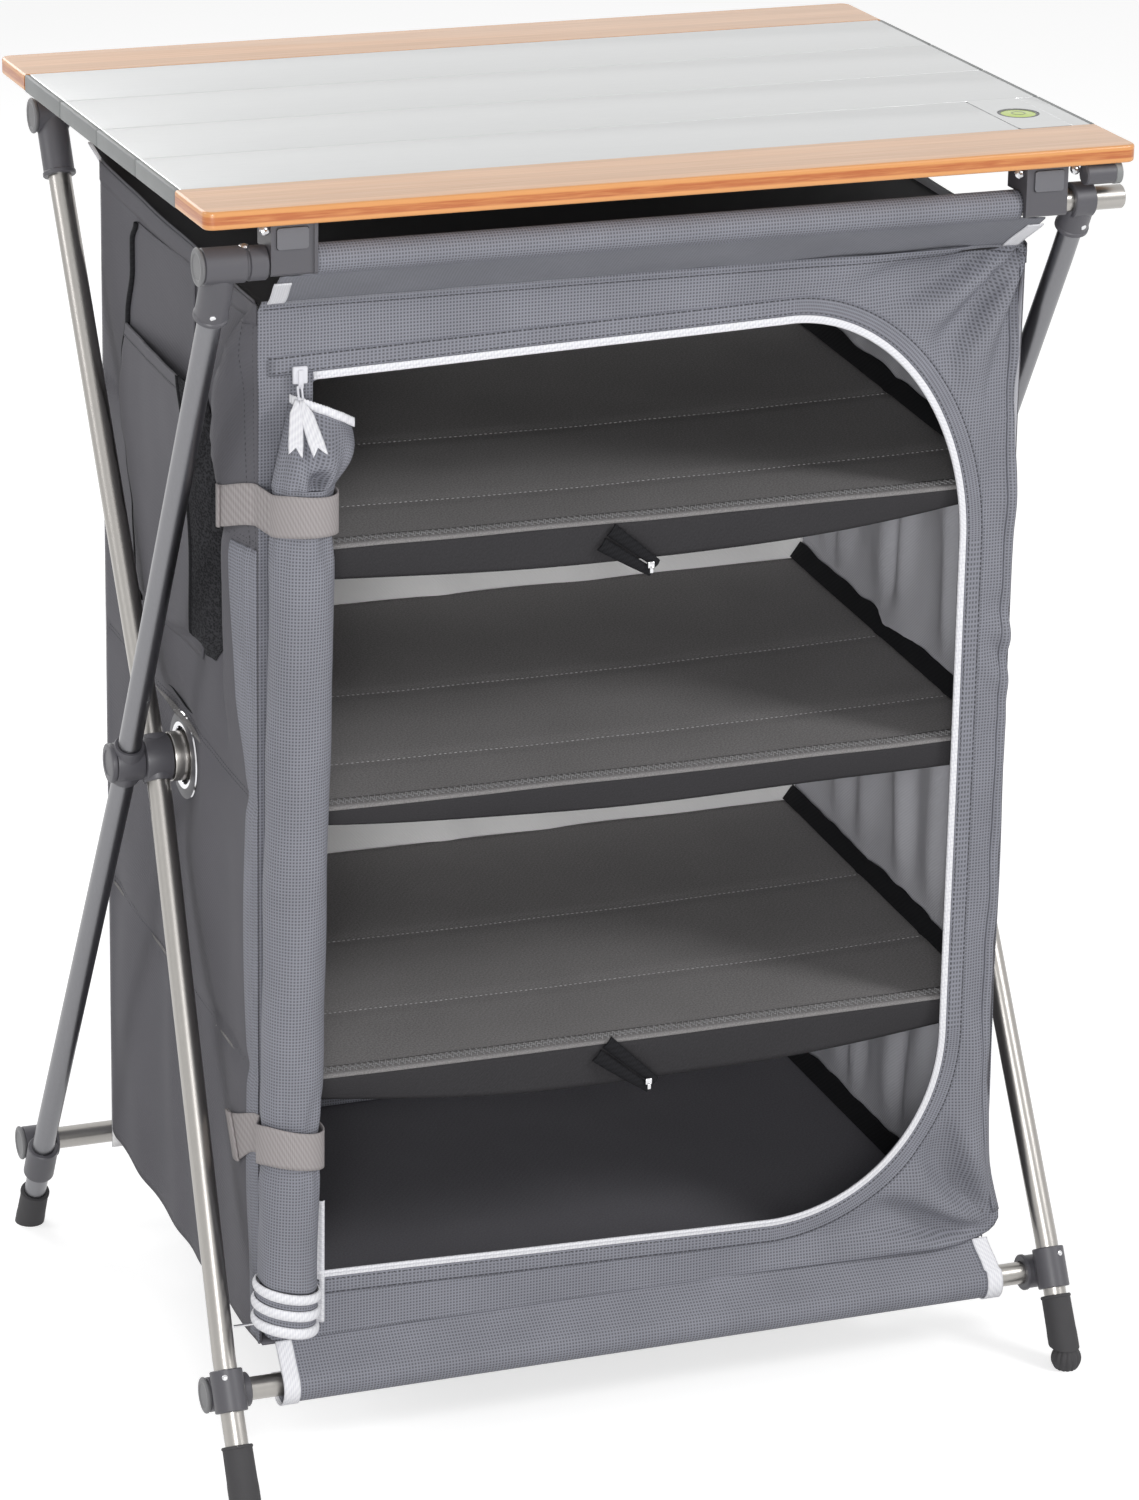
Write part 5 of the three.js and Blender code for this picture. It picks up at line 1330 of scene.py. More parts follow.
@dataclass
class DoorFront:
    """The front of the cabinet: the panel round the door opening, its facing, zip and threads."""

    half_width: float = 0.3357
    face: float = -0.230
    bottom: float = 0.104
    shoulder: float = 1.012
    corner: float = 0.024
    bulge: float = 0.016
    bulge_height: float = 0.190
    left: float = -0.290
    right: float = 0.285
    top: float = 0.959
    top_left: float = 0.946
    low: float = 0.152
    low_left: float = 0.165
    top_corner: Point = (0.158, 0.203)
    low_corner: Point = (0.155, 0.158)
    cloth: float = 0.0012
    centre: Point = (0.0, 0.555)
    facing: tuple[float, float] = (0.0056, 0.0215)
    facing_beyond: float = 0.037
    fans: tuple[tuple[float, float, float, float, float], ...] = (
        (0.345, 1.022, 0.0105, 12.0, 0.6), (0.352, 0.112, 0.0098, 10.0, 1.1), (-0.345, 1.015, 0.0014, 11.0, 0.2)
    )

    def opening(self, margin: float = 0.0, beyond: float = 0.0) -> list[Point]:
        """The edge of the opening from its lower left, round the right, to its upper left.

        Args:
            margin: How far it has grown outwards.
            beyond: How far both ends go on to the left.

        Returns:
            As many points for each margin, in X and Z.
        """
        top_a, top_b = (size + margin for size in self.top_corner)
        low_a, low_b = (size + margin for size in self.low_corner)
        right, top, low = self.right + margin, self.top + margin, self.low - margin
        points = []
        low_run, top_run = right - low_a - self.left, right - top_a - self.left
        for i in range(40):
            t = i / 40 * (1 + beyond / low_run) - beyond / low_run
            points.append((self.left + t * low_run, self.low_left - margin + t * (low - self.low_left + margin)))
        for i in range(40):
            a = -math.pi / 2 + (math.pi / 2) * i / 40
            points.append((right - low_a + low_a * math.cos(a), low + low_b + low_b * math.sin(a)))
        for i in range(30):
            points.append((right, low + low_b + (top - top_b - low - low_b) * i / 30))
        for i in range(50):
            a = (math.pi / 2) * i / 50
            points.append((right - top_a + top_a * math.cos(a), top - top_b + top_b * math.sin(a)))
        for i in range(41):
            t = i / 40 * (1 + beyond / top_run)
            points.append((right - top_a - t * top_run, top + t * (self.top_left + margin - top)))
        return points

    def outline(self) -> list[Point]:
        """The panel's outer edge, with its rounded corners and the belly at the lower right.

        Returns:
            Points in X and Z, from the upper left corner down and round.
        """
        half, low, c, h = self.half_width, self.bottom, self.corner, self.bulge_height
        out = half + self.bulge
        bends = (
            ((-half, low + c), (-half, low), (-half + c, low), 8),
            ((out - 2 * c, low), (out, low), (out, low + c), 8),
            ((out, low + c), (half, low + h / 2), (half, low + h), 10)
        )
        points = [(-half, self.shoulder)]
        for first, middle, last, steps in bends:
            for t in (i / steps for i in range(steps + 1)):
                ends = zip(first, middle, last)
                points.append(tuple((1 - t) ** 2 * p + 2 * t * (1 - t) * q + t * t * r for p, q, r in ends))
        return [*points, (half, self.shoulder)]

    def from_opening(self, x: float, z: float) -> float:
        """About how far a point lies outside the opening.

        Args:
            x: The point's X.
            z: Its Z.

        Returns:
            The distance, below 0 inside.
        """
        away = max(x - self.right, z - self.top, self.low - z, self.left - x)
        for (a, b), sign, edge in ((self.top_corner, 1, self.top), (self.low_corner, -1, self.low)):
            over, up = x - (self.right - a), sign * (z - edge) + b
            if over > 0 and up > 0:
                away = max(away, (math.hypot(over / a, up / b) - 1) * min(a, b))
        return away

    def depth(self, x: float, z: float) -> float:
        """How far the cloth stands out of its plane, towards the front.

        Args:
            x: The point's X.
            z: Its Z.

        Returns:
            The distance.
        """
        free = smooth((self.from_opening(x, z) - 0.014) / 0.028)
        if free <= 0:
            return 0.0010 * uneven(x / 0.12, z / 0.19, 0.3)
        out = 0.0
        for corner_x, corner_z, strength, folds, phase in self.fans:
            away = math.hypot(x - corner_x, z - corner_z)
            turn = math.atan2(z - corner_z, x - corner_x)
            weight = smooth(away / 0.07) * hump(away, 0.20)
            wave = math.sin(folds * turn + phase + 1.6 * uneven(x / 0.09, z / 0.09, 2.0))
            ridge = abs(wave) ** 0.7 * math.copysign(1, wave)
            out += strength * weight * (ridge + 0.5 * uneven(turn * 5, away / 0.2, 5.0))
        column = smooth((x - 0.300) / 0.02)
        out += 0.0046 * column * uneven(x / 0.03, z / 0.045, 4.0)
        pucker = hump(z - 0.655, 0.05) * smooth((x - 0.285) / 0.03)
        out += 0.0030 * pucker * math.sin((z + 0.6 * x) / 0.0065)
        return out * free + 0.0010 * uneven(x / 0.12, z / 0.19, 0.3)

    def at(self, x: float, z: float, proud: float = 0.0) -> Vector:
        """A point on the front cloth, or proud of it."""
        return Vector((x, self.face - self.depth(x, z) - proud, z))

    def build(self) -> None:
        """Builds the panel with its facing and threads, the zip and the pull."""
        self.build_panel()
        self.build_tape()
        self.build_pulls()

    def build_panel(self) -> None:
        """The ring of cloth round the opening, with the doubled facing sewn along its edge."""
        outer = self.outline()
        bm = bmesh.new()
        ringed_sheet(bm, 480, 36, self.centre, self.opening(), outer, self.at, lambda p: (p.x, p.z))
        outward = (0, -1, 0)
        turn_towards(bm, outward)
        start = len(bm.faces)
        first, last = (self.opening(margin, self.facing_beyond) for margin in self.facing)
        count = len(first) - 1

        def facing(u: float, v: float) -> Vector:
            """The facing along the opening."""
            i = round(u * count)
            x = first[i][0] + v * (last[i][0] - first[i][0])
            z = first[i][1] + v * (last[i][1] - first[i][1])
            return self.at(x, z, 0.0006 + 0.0009 * smooth(6 * v) * smooth(6 * (1 - v)))

        mapped_sheet(bm, count, 6, facing, (1.95, 0.0155))
        turn_towards(bm, outward, start)
        start = len(bm.faces)
        border = sorted((z, x) for x, z in outer if x > 0.3 and z > 0.127)

        def piping(u: float, v: float) -> Vector:
            """The piping along the right edge."""
            z = 0.130 + 0.876 * v
            x = from_table(border, z) - 0.0006 - 0.0078 * u
            return self.at(x, z, 0.0006 + 0.0016 * math.sin(math.pi * u))

        mapped_sheet(bm, 6, 120, piping, (0.008, 0.876))
        turn_towards(bm, outward, start)
        piece = sewn("front_cloth", bm, (CHECKED, LINING), self.cloth, ("front_panel",), "grey_cloth", lined=True)
        threads = bmesh.new()
        for margin in (0.0080, 0.0202):
            path = [self.at(x, z, 0.0019) for x, z in self.opening(margin, self.facing_beyond)]
            stitches(threads, path, radius=0.0006)
        seam = [self.at(-0.33 + 0.66 * i / 120, self.shoulder - 0.006, 0.0024) for i in range(121)]
        stitches(threads, seam, length=0.0045)
        sewn("front_threads", threads, (THREAD,))

    def build_tape(self) -> None:
        """The white zip tape with its bead of teeth, and its lower end behind the roll."""
        section = [
            (0.0002, 0.0000), (-0.0004, 0.0010), (0.0000, 0.0022), (0.0010, 0.0028), (0.0020, 0.0022),
            (0.0026, 0.0012), (0.0042, 0.0011), (0.0054, 0.0011), (0.0058, 0.0003)
        ]
        lines = [self.opening(margin) for margin, _ in section]
        count = len(lines[0]) - 1
        last = len(section) - 1

        def place(u: float, v: float) -> Vector:
            """The tape along the opening."""
            i, j = round(u * count), round(v * last)
            x, z = lines[j][i]
            return self.at(x, z, 0.0007 + section[j][1])

        bm = bmesh.new()
        mapped_sheet(bm, count, last, place, (1.85, 0.014))

        def lower_end(u: float, v: float) -> Vector:
            """The tape's lower end, behind the roll."""
            z = 0.118 + 0.112 * u
            x = -0.2885 + 0.009 * v
            return self.at(x, z, 0.0012 + 0.0024 * hump(v - 0.75, 0.2))

        mapped_sheet(bm, 40, 8, lower_end, (0.112, 0.009))
        sewn("zip_tape_dressed", bm, (WHITE_TAPE,), 0.0006, ("zipper_tape",), "white_tape")

    def build_pulls(self) -> None:
        """The slider and its two leaf-shaped cord ends."""
        slider = bmesh.new()
        y = self.face - 0.0034
        rounded_block(slider, (-0.3085, y - 0.0036, 0.944), (-0.2960, y, 0.9585), 0.0014, 3)
        rounded_block(slider, (-0.3045, y - 0.0052, 0.9405), (-0.3000, y - 0.0016, 0.9560), 0.0009, 3)
        sewn("zip_slider", slider, (WHITE_TAPE,), slot="white_tape", sharp=38.0)
        leaves = bmesh.new()
        shapes = (((-0.3085, 0.9335), (-0.3215, 0.8990)), ((-0.3045, 0.9330), (-0.3005, 0.8970)))
        for (top_x, top_z), (tip_x, tip_z) in shapes:
            run = Vector((tip_x - top_x, -0.0370, tip_z - top_z))
            across = Vector((-run.z, 0, run.x)).normalized()

            def leaf(u: float, v: float, run: Vector = run, across: Vector = across) -> Vector:
                """A leaf of doubled tape with a notched tip."""
                wide = from_table([(0, 0.0018), (0.3, 0.0058), (0.80, 0.0064), (1, 0.0060)], v)
                notch = 0.16 * smooth((v - 0.7) / 0.3) * (1 - abs(2 * u - 1))
                centre = Vector((top_x, y - 0.0120, top_z)) + run * (v - notch)
                belly = 0.0010 * (1 - (2 * u - 1) ** 2)
                return centre + across * ((2 * u - 1) * wide) + Vector((0, -belly, 0))

            mapped_sheet(leaves, 8, 20, leaf, (0.011, 0.038))
        sewn("zip_pull_leaves", leaves, (WHITE_TAPE,), 0.0014, ("zip_pull",), "white_tape", "zip_pull")
        loop = bmesh.new()
        for path_x in (-0.3062, -0.3028):
            profile = [(0.0009, 0), (0.0009, 0.0135)]
            turned(loop, profile, (path_x, y - 0.0118, 0.9310), (0.05, 0.5, 1), 10)
        sewn("zip_pull_cords", loop, (WHITE_TAPE,), body="zip_pull")


def wrap_path(start: Point, centre: Point, radius: float, end_angle: float, front: bool, steps: int) -> list[Point]:
    """Lays a strip of cloth from a seam to a bar and round it.

    Args:
        start: Where the strip is sewn, in Y and Z.
        centre: The bar's axis, in Y and Z.
        radius: The sleeve's radius.
        end_angle: How far it goes round, in radians.
        front: Whether it passes the bar on the side of smaller Y first.
        steps: The number of steps on the round part.

    Returns:
        The strip's line in Y and Z.
    """
    dy, dz = start[0] - centre[0], start[1] - centre[1]
    distance = math.hypot(dy, dz)
    towards = math.atan2(dz, dy)
    spread = math.acos(min(1.0, radius / distance))
    turn = -1 if front == (dz < 0) else 1
    first = towards + turn * spread
    touch = (centre[0] + radius * math.cos(first), centre[1] + radius * math.sin(first))
    shares = [i / 10 for i in range(10)]
    path = [(start[0] + t * (touch[0] - start[0]), start[1] + t * (touch[1] - start[1])) for t in shares]
    for i in range(steps + 1):
        angle = first + turn * end_angle * i / steps
        path.append((centre[0] + radius * math.cos(angle), centre[1] + radius * math.sin(angle)))
    return path


def evenly(path: Sequence[Point], steps: int, corner: int) -> tuple[list[Point], float, float]:
    """Spreads points evenly along a line.

    Args:
        path: The line.
        steps: The number of steps on the new line.
        corner: The number of a point whose place on the line is wanted.

    Returns:
        The new line, its length, and the corner's share of that length.
    """
    lengths = [0.0]
    for (ay, az), (by, bz) in zip(path, path[1:]):
        lengths.append(lengths[-1] + math.hypot(by - ay, bz - az))
    spread, i = [], 0
    for step in range(steps + 1):
        at = lengths[-1] * step / steps
        while i < len(path) - 2 and lengths[i + 1] < at:
            i += 1
        share = (at - lengths[i]) / (lengths[i + 1] - lengths[i])
        spread.append(tuple(a + share * (b - a) for a, b in zip(path[i], path[i + 1])))
    return spread, lengths[-1], lengths[corner] / lengths[-1]


@dataclass
class BarStrip:
    """A strip of cloth from a panel's edge to a bar, sewn round it as a sleeve, with white bound ends."""

    name: str
    node: str
    start: Point
    centre: Point
    radius: float
    half_width: float
    ends: tuple[tuple[float, float, float], tuple[float, float, float]]
    body: str
    front: bool
    round_turn: float
    cloth: Finish
    sleeve_cloth: Finish
    bound_rows: int
    tuck: float = 0.046

    def build(self) -> None:
        """Builds the strip, its bindings and the tuck behind the panel, which shows only when folded."""
        path, total, straight = evenly(
            wrap_path(self.start, self.centre, self.radius, self.round_turn, self.front, 40), 56, 10
        )
        count = len(path) - 1

        def on_strip(x: float, j: int, proud: float = 0.0) -> Vector:
            """A point on the strip, or proud of it."""
            y, z = path[j]
            share = j / count
            near, far = path[max(0, j - 1)], path[min(count, j + 1)]
            run = Vector((far[0] - near[0], far[1] - near[1])).normalized()
            outward = Vector((run.y, -run.x)) * (-1 if self.front == (self.start[1] < self.centre[1]) else 1)
            wave = 0.0012 * hump(share - 0.3 * straight, 0.3) * uneven(x / 0.06, share * 3, 6.0)
            push = proud + wave
            return Vector((x, y - outward.x * push, z - outward.y * push))

        def width_at(share: float, side: int) -> float:
            """How far the strip reaches to one side."""
            seam, under, bar = self.ends[side]
            return from_table([(0, seam), (0.90 * straight, under), (0.97 * straight, bar)], share)

        def place(u: float, v: float) -> Vector:
            """The strip, from its seam round the bar."""
            j = round(v * count)
            share = j / count
            x = -width_at(share, 0) + u * (width_at(share, 0) + width_at(share, 1))
            return on_strip(x, j)

        def tucked(u: float, v: float) -> Vector:
            """The tuck behind the panel."""
            x = (u - 0.5) * 2 * min(width_at(0, 0), width_at(0, 1), 0.329)
            up = 1 if self.start[1] < self.centre[1] else -1
            z = self.start[1] - up * self.tuck * (1 - v)
            behind = DoorFront().at(x, z, -0.0034).y if self.front else self.start[0] - 0.0045
            y = behind + (self.start[0] - behind) * smooth((v - 0.8) / 0.2)
            return Vector((x, y, z))

        bm = bmesh.new()
        mapped_sheet(bm, 160, count, place, (2 * self.half_width, total))
        mapped_sheet(bm, 120, 16, tucked, (2 * self.half_width, self.tuck))
        for face in bm.faces:
            centre = face.calc_center_median()
            if math.hypot(centre.y - self.centre[0], centre.z - self.centre[1]) < self.radius + 0.0015:
                face.material_index = 1
        cloths = (self.cloth, self.sleeve_cloth)
        piece = finished(self.name, bm, cloths, self.body, (self.node,), "grey_cloth", None)
        thicken(piece, 0.0012)
        bindings = bmesh.new()
        bound_rows = min(self.bound_rows, count)
        for side in (0, 1):
            sign = -1 if side == 0 else 1

            def bound(u: float, v: float, side: int = side, sign: int = sign) -> Vector:
                """The binding at one end."""
                j = round(v * bound_rows)
                x = sign * (width_at(j / count, side) + 0.003 - 0.0145 * u)
                return on_strip(x, j, -0.0016)

            mapped_sheet(bindings, 6, bound_rows, bound, (0.016, total))
        tape = finished(f"{self.name}_bindings", bindings, (WHITE_TAPE,), self.body, slot="white_tape", sharp=None)
        thicken(tape, 0.0012)


@dataclass
class SideWall:
    """A side wall of plain nylon, with seams where the shelves are sewn on and soft folds between."""

    side: Side
    plane: float = 0.335
    front: float = -0.2287
    back: float = 0.2107
    hole: float = 0.0275
    thread_inset: float = 0.012
    lobe_edge: tuple[Point, ...] = (
        (0.600, -0.150), (0.830, -0.158), (0.872, -0.144), (0.923, -0.153), (0.970, -0.194), (1.014, -0.222)
    )
    lobe_strength: tuple[Point, ...] = (
        (0.600, 0.0), (0.680, 0.45), (0.800, 0.70), (0.885, 1.0), (0.965, 1.0), (1.014, 0.0)
    )
    turned_edge: tuple[Point, ...] = ((0.104, -0.204), (0.493, -0.200), (0.800, -0.190))
    drawn_in: float = 0.007

    def outline(self) -> list[Point]:
        """The wall's edge in Y and Z."""
        return [(self.front, 0.100), (self.back, 0.118), (self.back, 1.030), (self.front, 1.012)]

    def depth(self, y: float, z: float) -> float:
        """How far the wall stands out of its plane, away from the cabinet.

        Args:
            y: The point's Y.
            z: Its Z.

        Returns:
            The distance.
        """
        away = math.hypot(y, z - HUB_HEIGHT)
        free = smooth((away - 0.038) / 0.06)
        out = 0.0018 * uneven(y / 0.09, z / 0.16, 7.0 * self.side.value)
        for height in SHELF_HEIGHTS.values():
            out -= 0.0026 * hump(z - self.seam_height(height, y), 0.010)
        out += 0.0025 * abs(math.sin(math.pi * (z - 0.359) / 0.238)) * smooth((z - 0.15) / 0.1)
        if self.side is Side.LEFT:
            out += self.lobe(y, z)
            out += 0.0012 * math.sin(y / 0.016 + 2.0 * uneven(y / 0.09, z / 0.3, 4.4)) * smooth((0.6 - z) / 0.1)
        else:
            swell = 0.0046 * smooth((z - 0.12) / 0.06) * smooth((0.99 - z) / 0.05)
            for height in SHELF_HEIGHTS.values():
                swell *= 1 - hump(z - self.seam_height(height, y) - 0.004, 0.034)
            out += swell * math.sin(y / 0.0105 + 2.6 * uneven(y / 0.06, z / 0.25, 9.0)) * smooth((0.19 - y) / 0.05)
        edge = min(y - self.front, self.back - y)
        return out * free * smooth(edge / 0.012 + 0.15) - self.drawn_in * (1 - smooth((away - 0.034) / 0.05))

    def lobe(self, y: float, z: float) -> float:
        """The full fold behind the front corner, with the hollow beside it.

        Args:
            y: The point's Y.
            z: Its Z.

        Returns:
            How far it stands out there.
        """
        edge = from_table(self.lobe_edge, z)
        share = (edge - y) / (edge - self.front)
        upper = from_table(self.lobe_strength, z)
        if share <= 0:
            sewn = hump(z - self.seam_height(SHELF_HEIGHTS["upper"], y), 0.022)
            return -0.016 * upper * (1 - sewn) * hump(edge - y - 0.010, 0.026)
        return upper * (0.0175 * math.sin(math.pi * min(1.0, share) ** 0.5) - 0.006 * max(0.0, 1 - 6 * share))

    @staticmethod
    def seam_height(shelf: float, y: float) -> float:
        """Where a shelf is sewn to the wall."""
        return shelf + WALL_SEAM_RISE + 0.012 * (y / 0.22)

    def at(self, y: float, z: float, proud: float = 0.0) -> Vector:
        """A point on the wall's outside."""
        return Vector((self.side.value * (self.plane + self.depth(y, z) + proud), y, z))

    def build(self) -> None:
        """Builds the wall, its threads and its bound upper edge."""
        bm = bmesh.new()
        ringed_sheet(bm, 320, 44, (0, HUB_HEIGHT), self.hole, self.outline(), self.at, lambda p: (p.y, p.z))
        name = self.side.name.lower()
        node = f"side_wall_{name}"
        turn_towards(bm, (self.side.value, 0, 0))
        piece = sewn(f"{node}_cloth", bm, (WALL_NYLON, LINING), 0.0012, (node,), "grey_cloth", lined=True)
        self.build_threads(name)
        self.build_turned_edge(name)

    def build_turned_edge(self, name: str) -> None:
        """Where the front cloth is turned round the corner on to the side, with creases along the corner.

        Args:
            name: The wall's name.
        """
        bm = bmesh.new()

        def place(u: float, v: float) -> Vector:
            """The turned cloth, from the corner back."""
            z = 0.104 + (0.806 - 0.104) * v
            y = self.front + 0.0005 + (from_table(self.turned_edge, z) - self.front) * u
            crease = 0.0011 * math.sin(2 * math.pi * u * 3.2 + 1.5 * uneven(u, z / 0.2, 8.0)) * (1 - u)
            return self.at(y, z, 0.0013 + crease)

        mapped_sheet(bm, 24, 120, place, (0.05, 0.70))
        sewn(f"side_turned_edge_{name}", bm, (CHECKED,), 0.0006, slot="grey_cloth")

    def build_threads(self, name: str) -> None:
        """The rows of stitches: the shelves' seams and both sides of the front corner.

        Args:
            name: The wall's name.
        """
        bm = bmesh.new()
        for height in SHELF_HEIGHTS.values():
            for lift in (-0.002, 0.002):
                ys = [self.front + 0.004 + (self.back - self.front - 0.008) * i / 60 for i in range(61)]
                path = [self.at(y, self.seam_height(height, y) + lift, 0.0008) for y in ys]
                if height == SHELF_HEIGHTS["middle"]:
                    path = [p for p in path if math.hypot(p.y, p.z - HUB_HEIGHT) > 0.042]
                    for part in ([p for p in path if p.y < 0], [p for p in path if p.y > 0]):
                        stitches(bm, part)
                    continue
                stitches(bm, path)
        for inset in (0.004, self.thread_inset):
            zs = [0.112 + 0.893 * i / 90 for i in range(91)]
            stitches(bm, [self.at(self.front + inset, z, 0.0008) for z in zs])
        sewn(f"side_threads_{name}", bm, (THREAD,))
        hem = bmesh.new()

        def band(u: float, v: float) -> Vector:
            """The hem along the upper edge."""
            y = self.front + (self.back - self.front) * u
            z = 1.012 + 0.018 * u - 0.002 - 0.017 * v
            return self.at(y, z, 0.0014)

        mapped_sheet(hem, 80, 4, band, (0.44, 0.017))
        sewn(f"side_hem_{name}", hem, (WALL_NYLON,), 0.0008)


@dataclass
class BackPanel:
    """The rear sheet, nearly white inside: painted light for the light that shines through it into the cabinet."""

    half_width: float = 0.3357
    plane: float = 0.212
    bottom: float = 0.104
    shoulder: float = 1.012

    def build(self) -> None:
        """Builds the sheet with soft vertical folds."""

        def place(u: float, v: float) -> Vector:
            """The sheet with its folds."""
            x = -self.half_width + 2 * self.half_width * u
            z = self.bottom + (self.shoulder - self.bottom) * v
            free = smooth(min(u, 1 - u) / 0.04) * smooth(min(v, 1 - v) / 0.03)
            wave = 0.0022 * math.sin(x / 0.021 + 2.4 * uneven(x / 0.09, z / 0.4, 3.3))
            rumple = 0.0016 * uneven(x / 0.11, z / 0.2, 5.1)
            return Vector((x, self.plane + free * (wave + rumple), z))

        bm = bmesh.new()
        mapped_sheet(bm, 180, 120, place, lambda p: (p.x, p.z))
        turn_towards(bm, (0, 1, 0))
        # The lining inside is the nearly white copy: painted light for the light that shines through the back.
        piece = sewn("back_cloth", bm, (CHECKED, PAINTED_LIGHT_BACK_LINING), 0.0012, ("back_panel",), "grey_cloth", lined=True)


@dataclass
class Shelf:
    """A felt shelf that rises to the back and sags, with a bound front edge and a hanging flap."""

    place_name: str
    height: float
    half_width: float = 0.3335
    front: float = -0.2252
    back: float = 0.2104
    flap_edge: tuple[float, float, float] = (0.778, 0.765, 0.794)
    zip_line: tuple[Point, Point] | None = None
    seams: tuple[float, float] = (0.012, -0.135)
    sag: float = 0.005

    def top(self, x: float, y: float) -> float:
        """The height of the felt at a place.

        Args:
            x: The place's X.
            y: Its Y.

        Returns:
            The height.
        """
        along = (y - self.front) / (self.back - self.front)
        across = 1 - (x / self.half_width) ** 2
        dip = self.sag * across * (0.25 + math.sin(math.pi * min(1.0, max(0.0, along))) * 0.75)
        quilt = sum(0.0012 * hump(y - seam, 0.006) for seam in self.seams)
        return self.height + SHELF_RISE * along - dip - quilt + 0.0008 * uneven(x / 0.09, y / 0.07, self.height * 9)

    def build(self) -> None:
        """Builds the felt, the flap, the bindings and the threads."""
        half = self.half_width
        bm = bmesh.new()

        def felt(u: float, v: float) -> Vector:
            """The felt."""
            x, y = -half + 2 * half * u, self.front + (self.back - self.front) * v
            return Vector((x, y, self.top(x, y) - 0.0012))

        mapped_sheet(bm, 140, 60, felt, lambda p: (p.x, p.y))

        def flap(u: float, v: float) -> Vector:
            """The flap that hangs from the front edge."""
            x = -half + 2 * half * u
            left, middle, right = self.flap_edge
            lip = self.top(x, self.front) - 0.0026
            side = left if u < 0.5 else right
            drop = lip - (side + (middle - side) * math.sin(math.pi * u) ** 0.8)
            swing = 0.0018 * math.sin(x / 0.045 + self.height * 40) * v
            return Vector((x, self.front + 0.0012 + 0.004 * v * v + swing * v, lip - drop * v))

        mapped_sheet(bm, 140, 8, flap, (2 * half, 0.03), 1)
        node = f"shelf_{self.place_name}"
        # The shelf takes the lightened felt, painted light, and its flap the darkened felt, painted shade.
        piece = sewn(f"{node}_felt", bm, (PAINTED_LIGHT_FELT, PAINTED_SHADE_FLAP_FELT), 0.0022, (node,), "felt_cloth")
        self.build_edges(node)

    def build_edges(self, node: str) -> None:
        """The binding along the front and the sides, with its zigzag and the two quilting rows.

        Args:
            node: The shelf's name.
        """
        half = self.half_width
        edge = bmesh.new()

        def lip(u: float, v: float) -> Vector:
            """The binding over the front edge."""
            x = -half + 2 * half * u
            centre_y, centre_z = self.front + 0.0022, self.top(x, self.front) - 0.0012
            if v < 0.5:
                y = self.front + 0.0155 - 0.027 * v
                return Vector((x, y, self.top(x, y) + 0.0007))
            turn = (v - 0.5) * 2 * math.pi
            return Vector((x, centre_y - 0.0023 * math.sin(turn), centre_z + 0.0019 * math.cos(turn)))

        mapped_sheet(edge, 160, 12, lip, (2 * half, 0.020))
        # The front binding takes the lightened felt, painted light.
        sewn(f"{node}_front_binding", edge, (PAINTED_LIGHT_FELT,), 0.0008)
        sides = bmesh.new()
        for side in Side:

            def bound(u: float, v: float, side: Side = side) -> Vector:
                """The binding up one side wall."""
                y = self.front + 0.016 + (self.back - self.front - 0.016) * u
                turn = math.pi / 2 * smooth(v)
                ragged = 1 + 0.25 * uneven(y / 0.03, self.height * 7, side.value)
                x = side.value * (half - 0.0012 - 0.010 * math.cos(turn))
                return Vector((x, y, self.top(x, y) + 0.0014 + 0.0135 * ragged * (1 - math.cos(turn))))

            mapped_sheet(sides, 60, 7, bound, (0.42, 0.018))
        sewn(f"{node}_side_bindings", sides, (BINDING,), 0.0012)
        threads = bmesh.new()
        for seam in self.seams:
            path = [Vector((-half + 2 * half * i / 80, seam, 0)) for i in range(81)]
            stitches(threads, [Vector((p.x, p.y, self.top(p.x, p.y) + 0.0004)) for p in path], finish=1)
        zigzag = []
        count = 240
        for i in range(count + 1):
            x = -half + 0.01 + (2 * half - 0.02) * i / count
            y = self.front + (0.0105 if i % 2 else 0.0035)
            zigzag.append(Vector((x, y, self.top(x, y) + 0.0014)))
        for shift in (0.0, 0.0042):
            row = [p + Vector((0, shift, 0)) for p in zigzag]
            stitches(threads, row, pitch=0.0037, length=0.0042, radius=0.00040, finish=1)
        sewn(f"{node}_threads", threads, (THREAD, PALE_THREAD))
        if self.zip_line:
            self.build_zip(node, *self.zip_line)

    def build_zip(self, node: str, start: Point, end: Point) -> None:
        """The black zip across the flap, with its metal slider.

        Args:
            node: The shelf's name.
            start: The zip's upper end, in X and Z.
            end: Its lower end.
        """
        bm = bmesh.new()
        run = Vector((end[0] - start[0], 0, end[1] - start[1]))
        across = Vector((run.z, 0, -run.x)).normalized()
        for offset in (-0.0070, 0.0015):

            def ribbon(u: float, v: float, offset: float = offset) -> Vector:
                """One half of the zip's tape."""
                place = Vector((start[0], self.front - 0.0022, start[1])) + run * (0.92 * u)
                place += across * ((offset + 0.0070 * v) * (1.7 - 0.7 * u))
                place.y -= 0.0018 * math.sin(math.pi * v) + 0.004 * math.sin(math.pi * u)
                return place

            mapped_sheet(bm, 30, 6, ribbon, (0.06, 0.0095))
        sewn(f"{node}_zip", bm, (BINDING,), 0.0010)
        metal = bmesh.new()
        spot = Vector((start[0], self.front - 0.006, start[1])) + run * 0.80
        body = (Vector((-0.0030, -0.0030, -0.0030)), Vector((0.0030, 0.0010, 0.0030)), 0.0010)
        tab = (Vector((-0.0016, -0.0040, -0.0068)), Vector((0.0016, -0.0028, -0.0015)), 0.0006)
        for low, high, rounding in (body, tab):
            rounded_block(metal, spot + low, spot + high, rounding)
        sewn(f"{node}_zip_slider", metal, (CHROME,), slot="chrome", sharp=38.0)


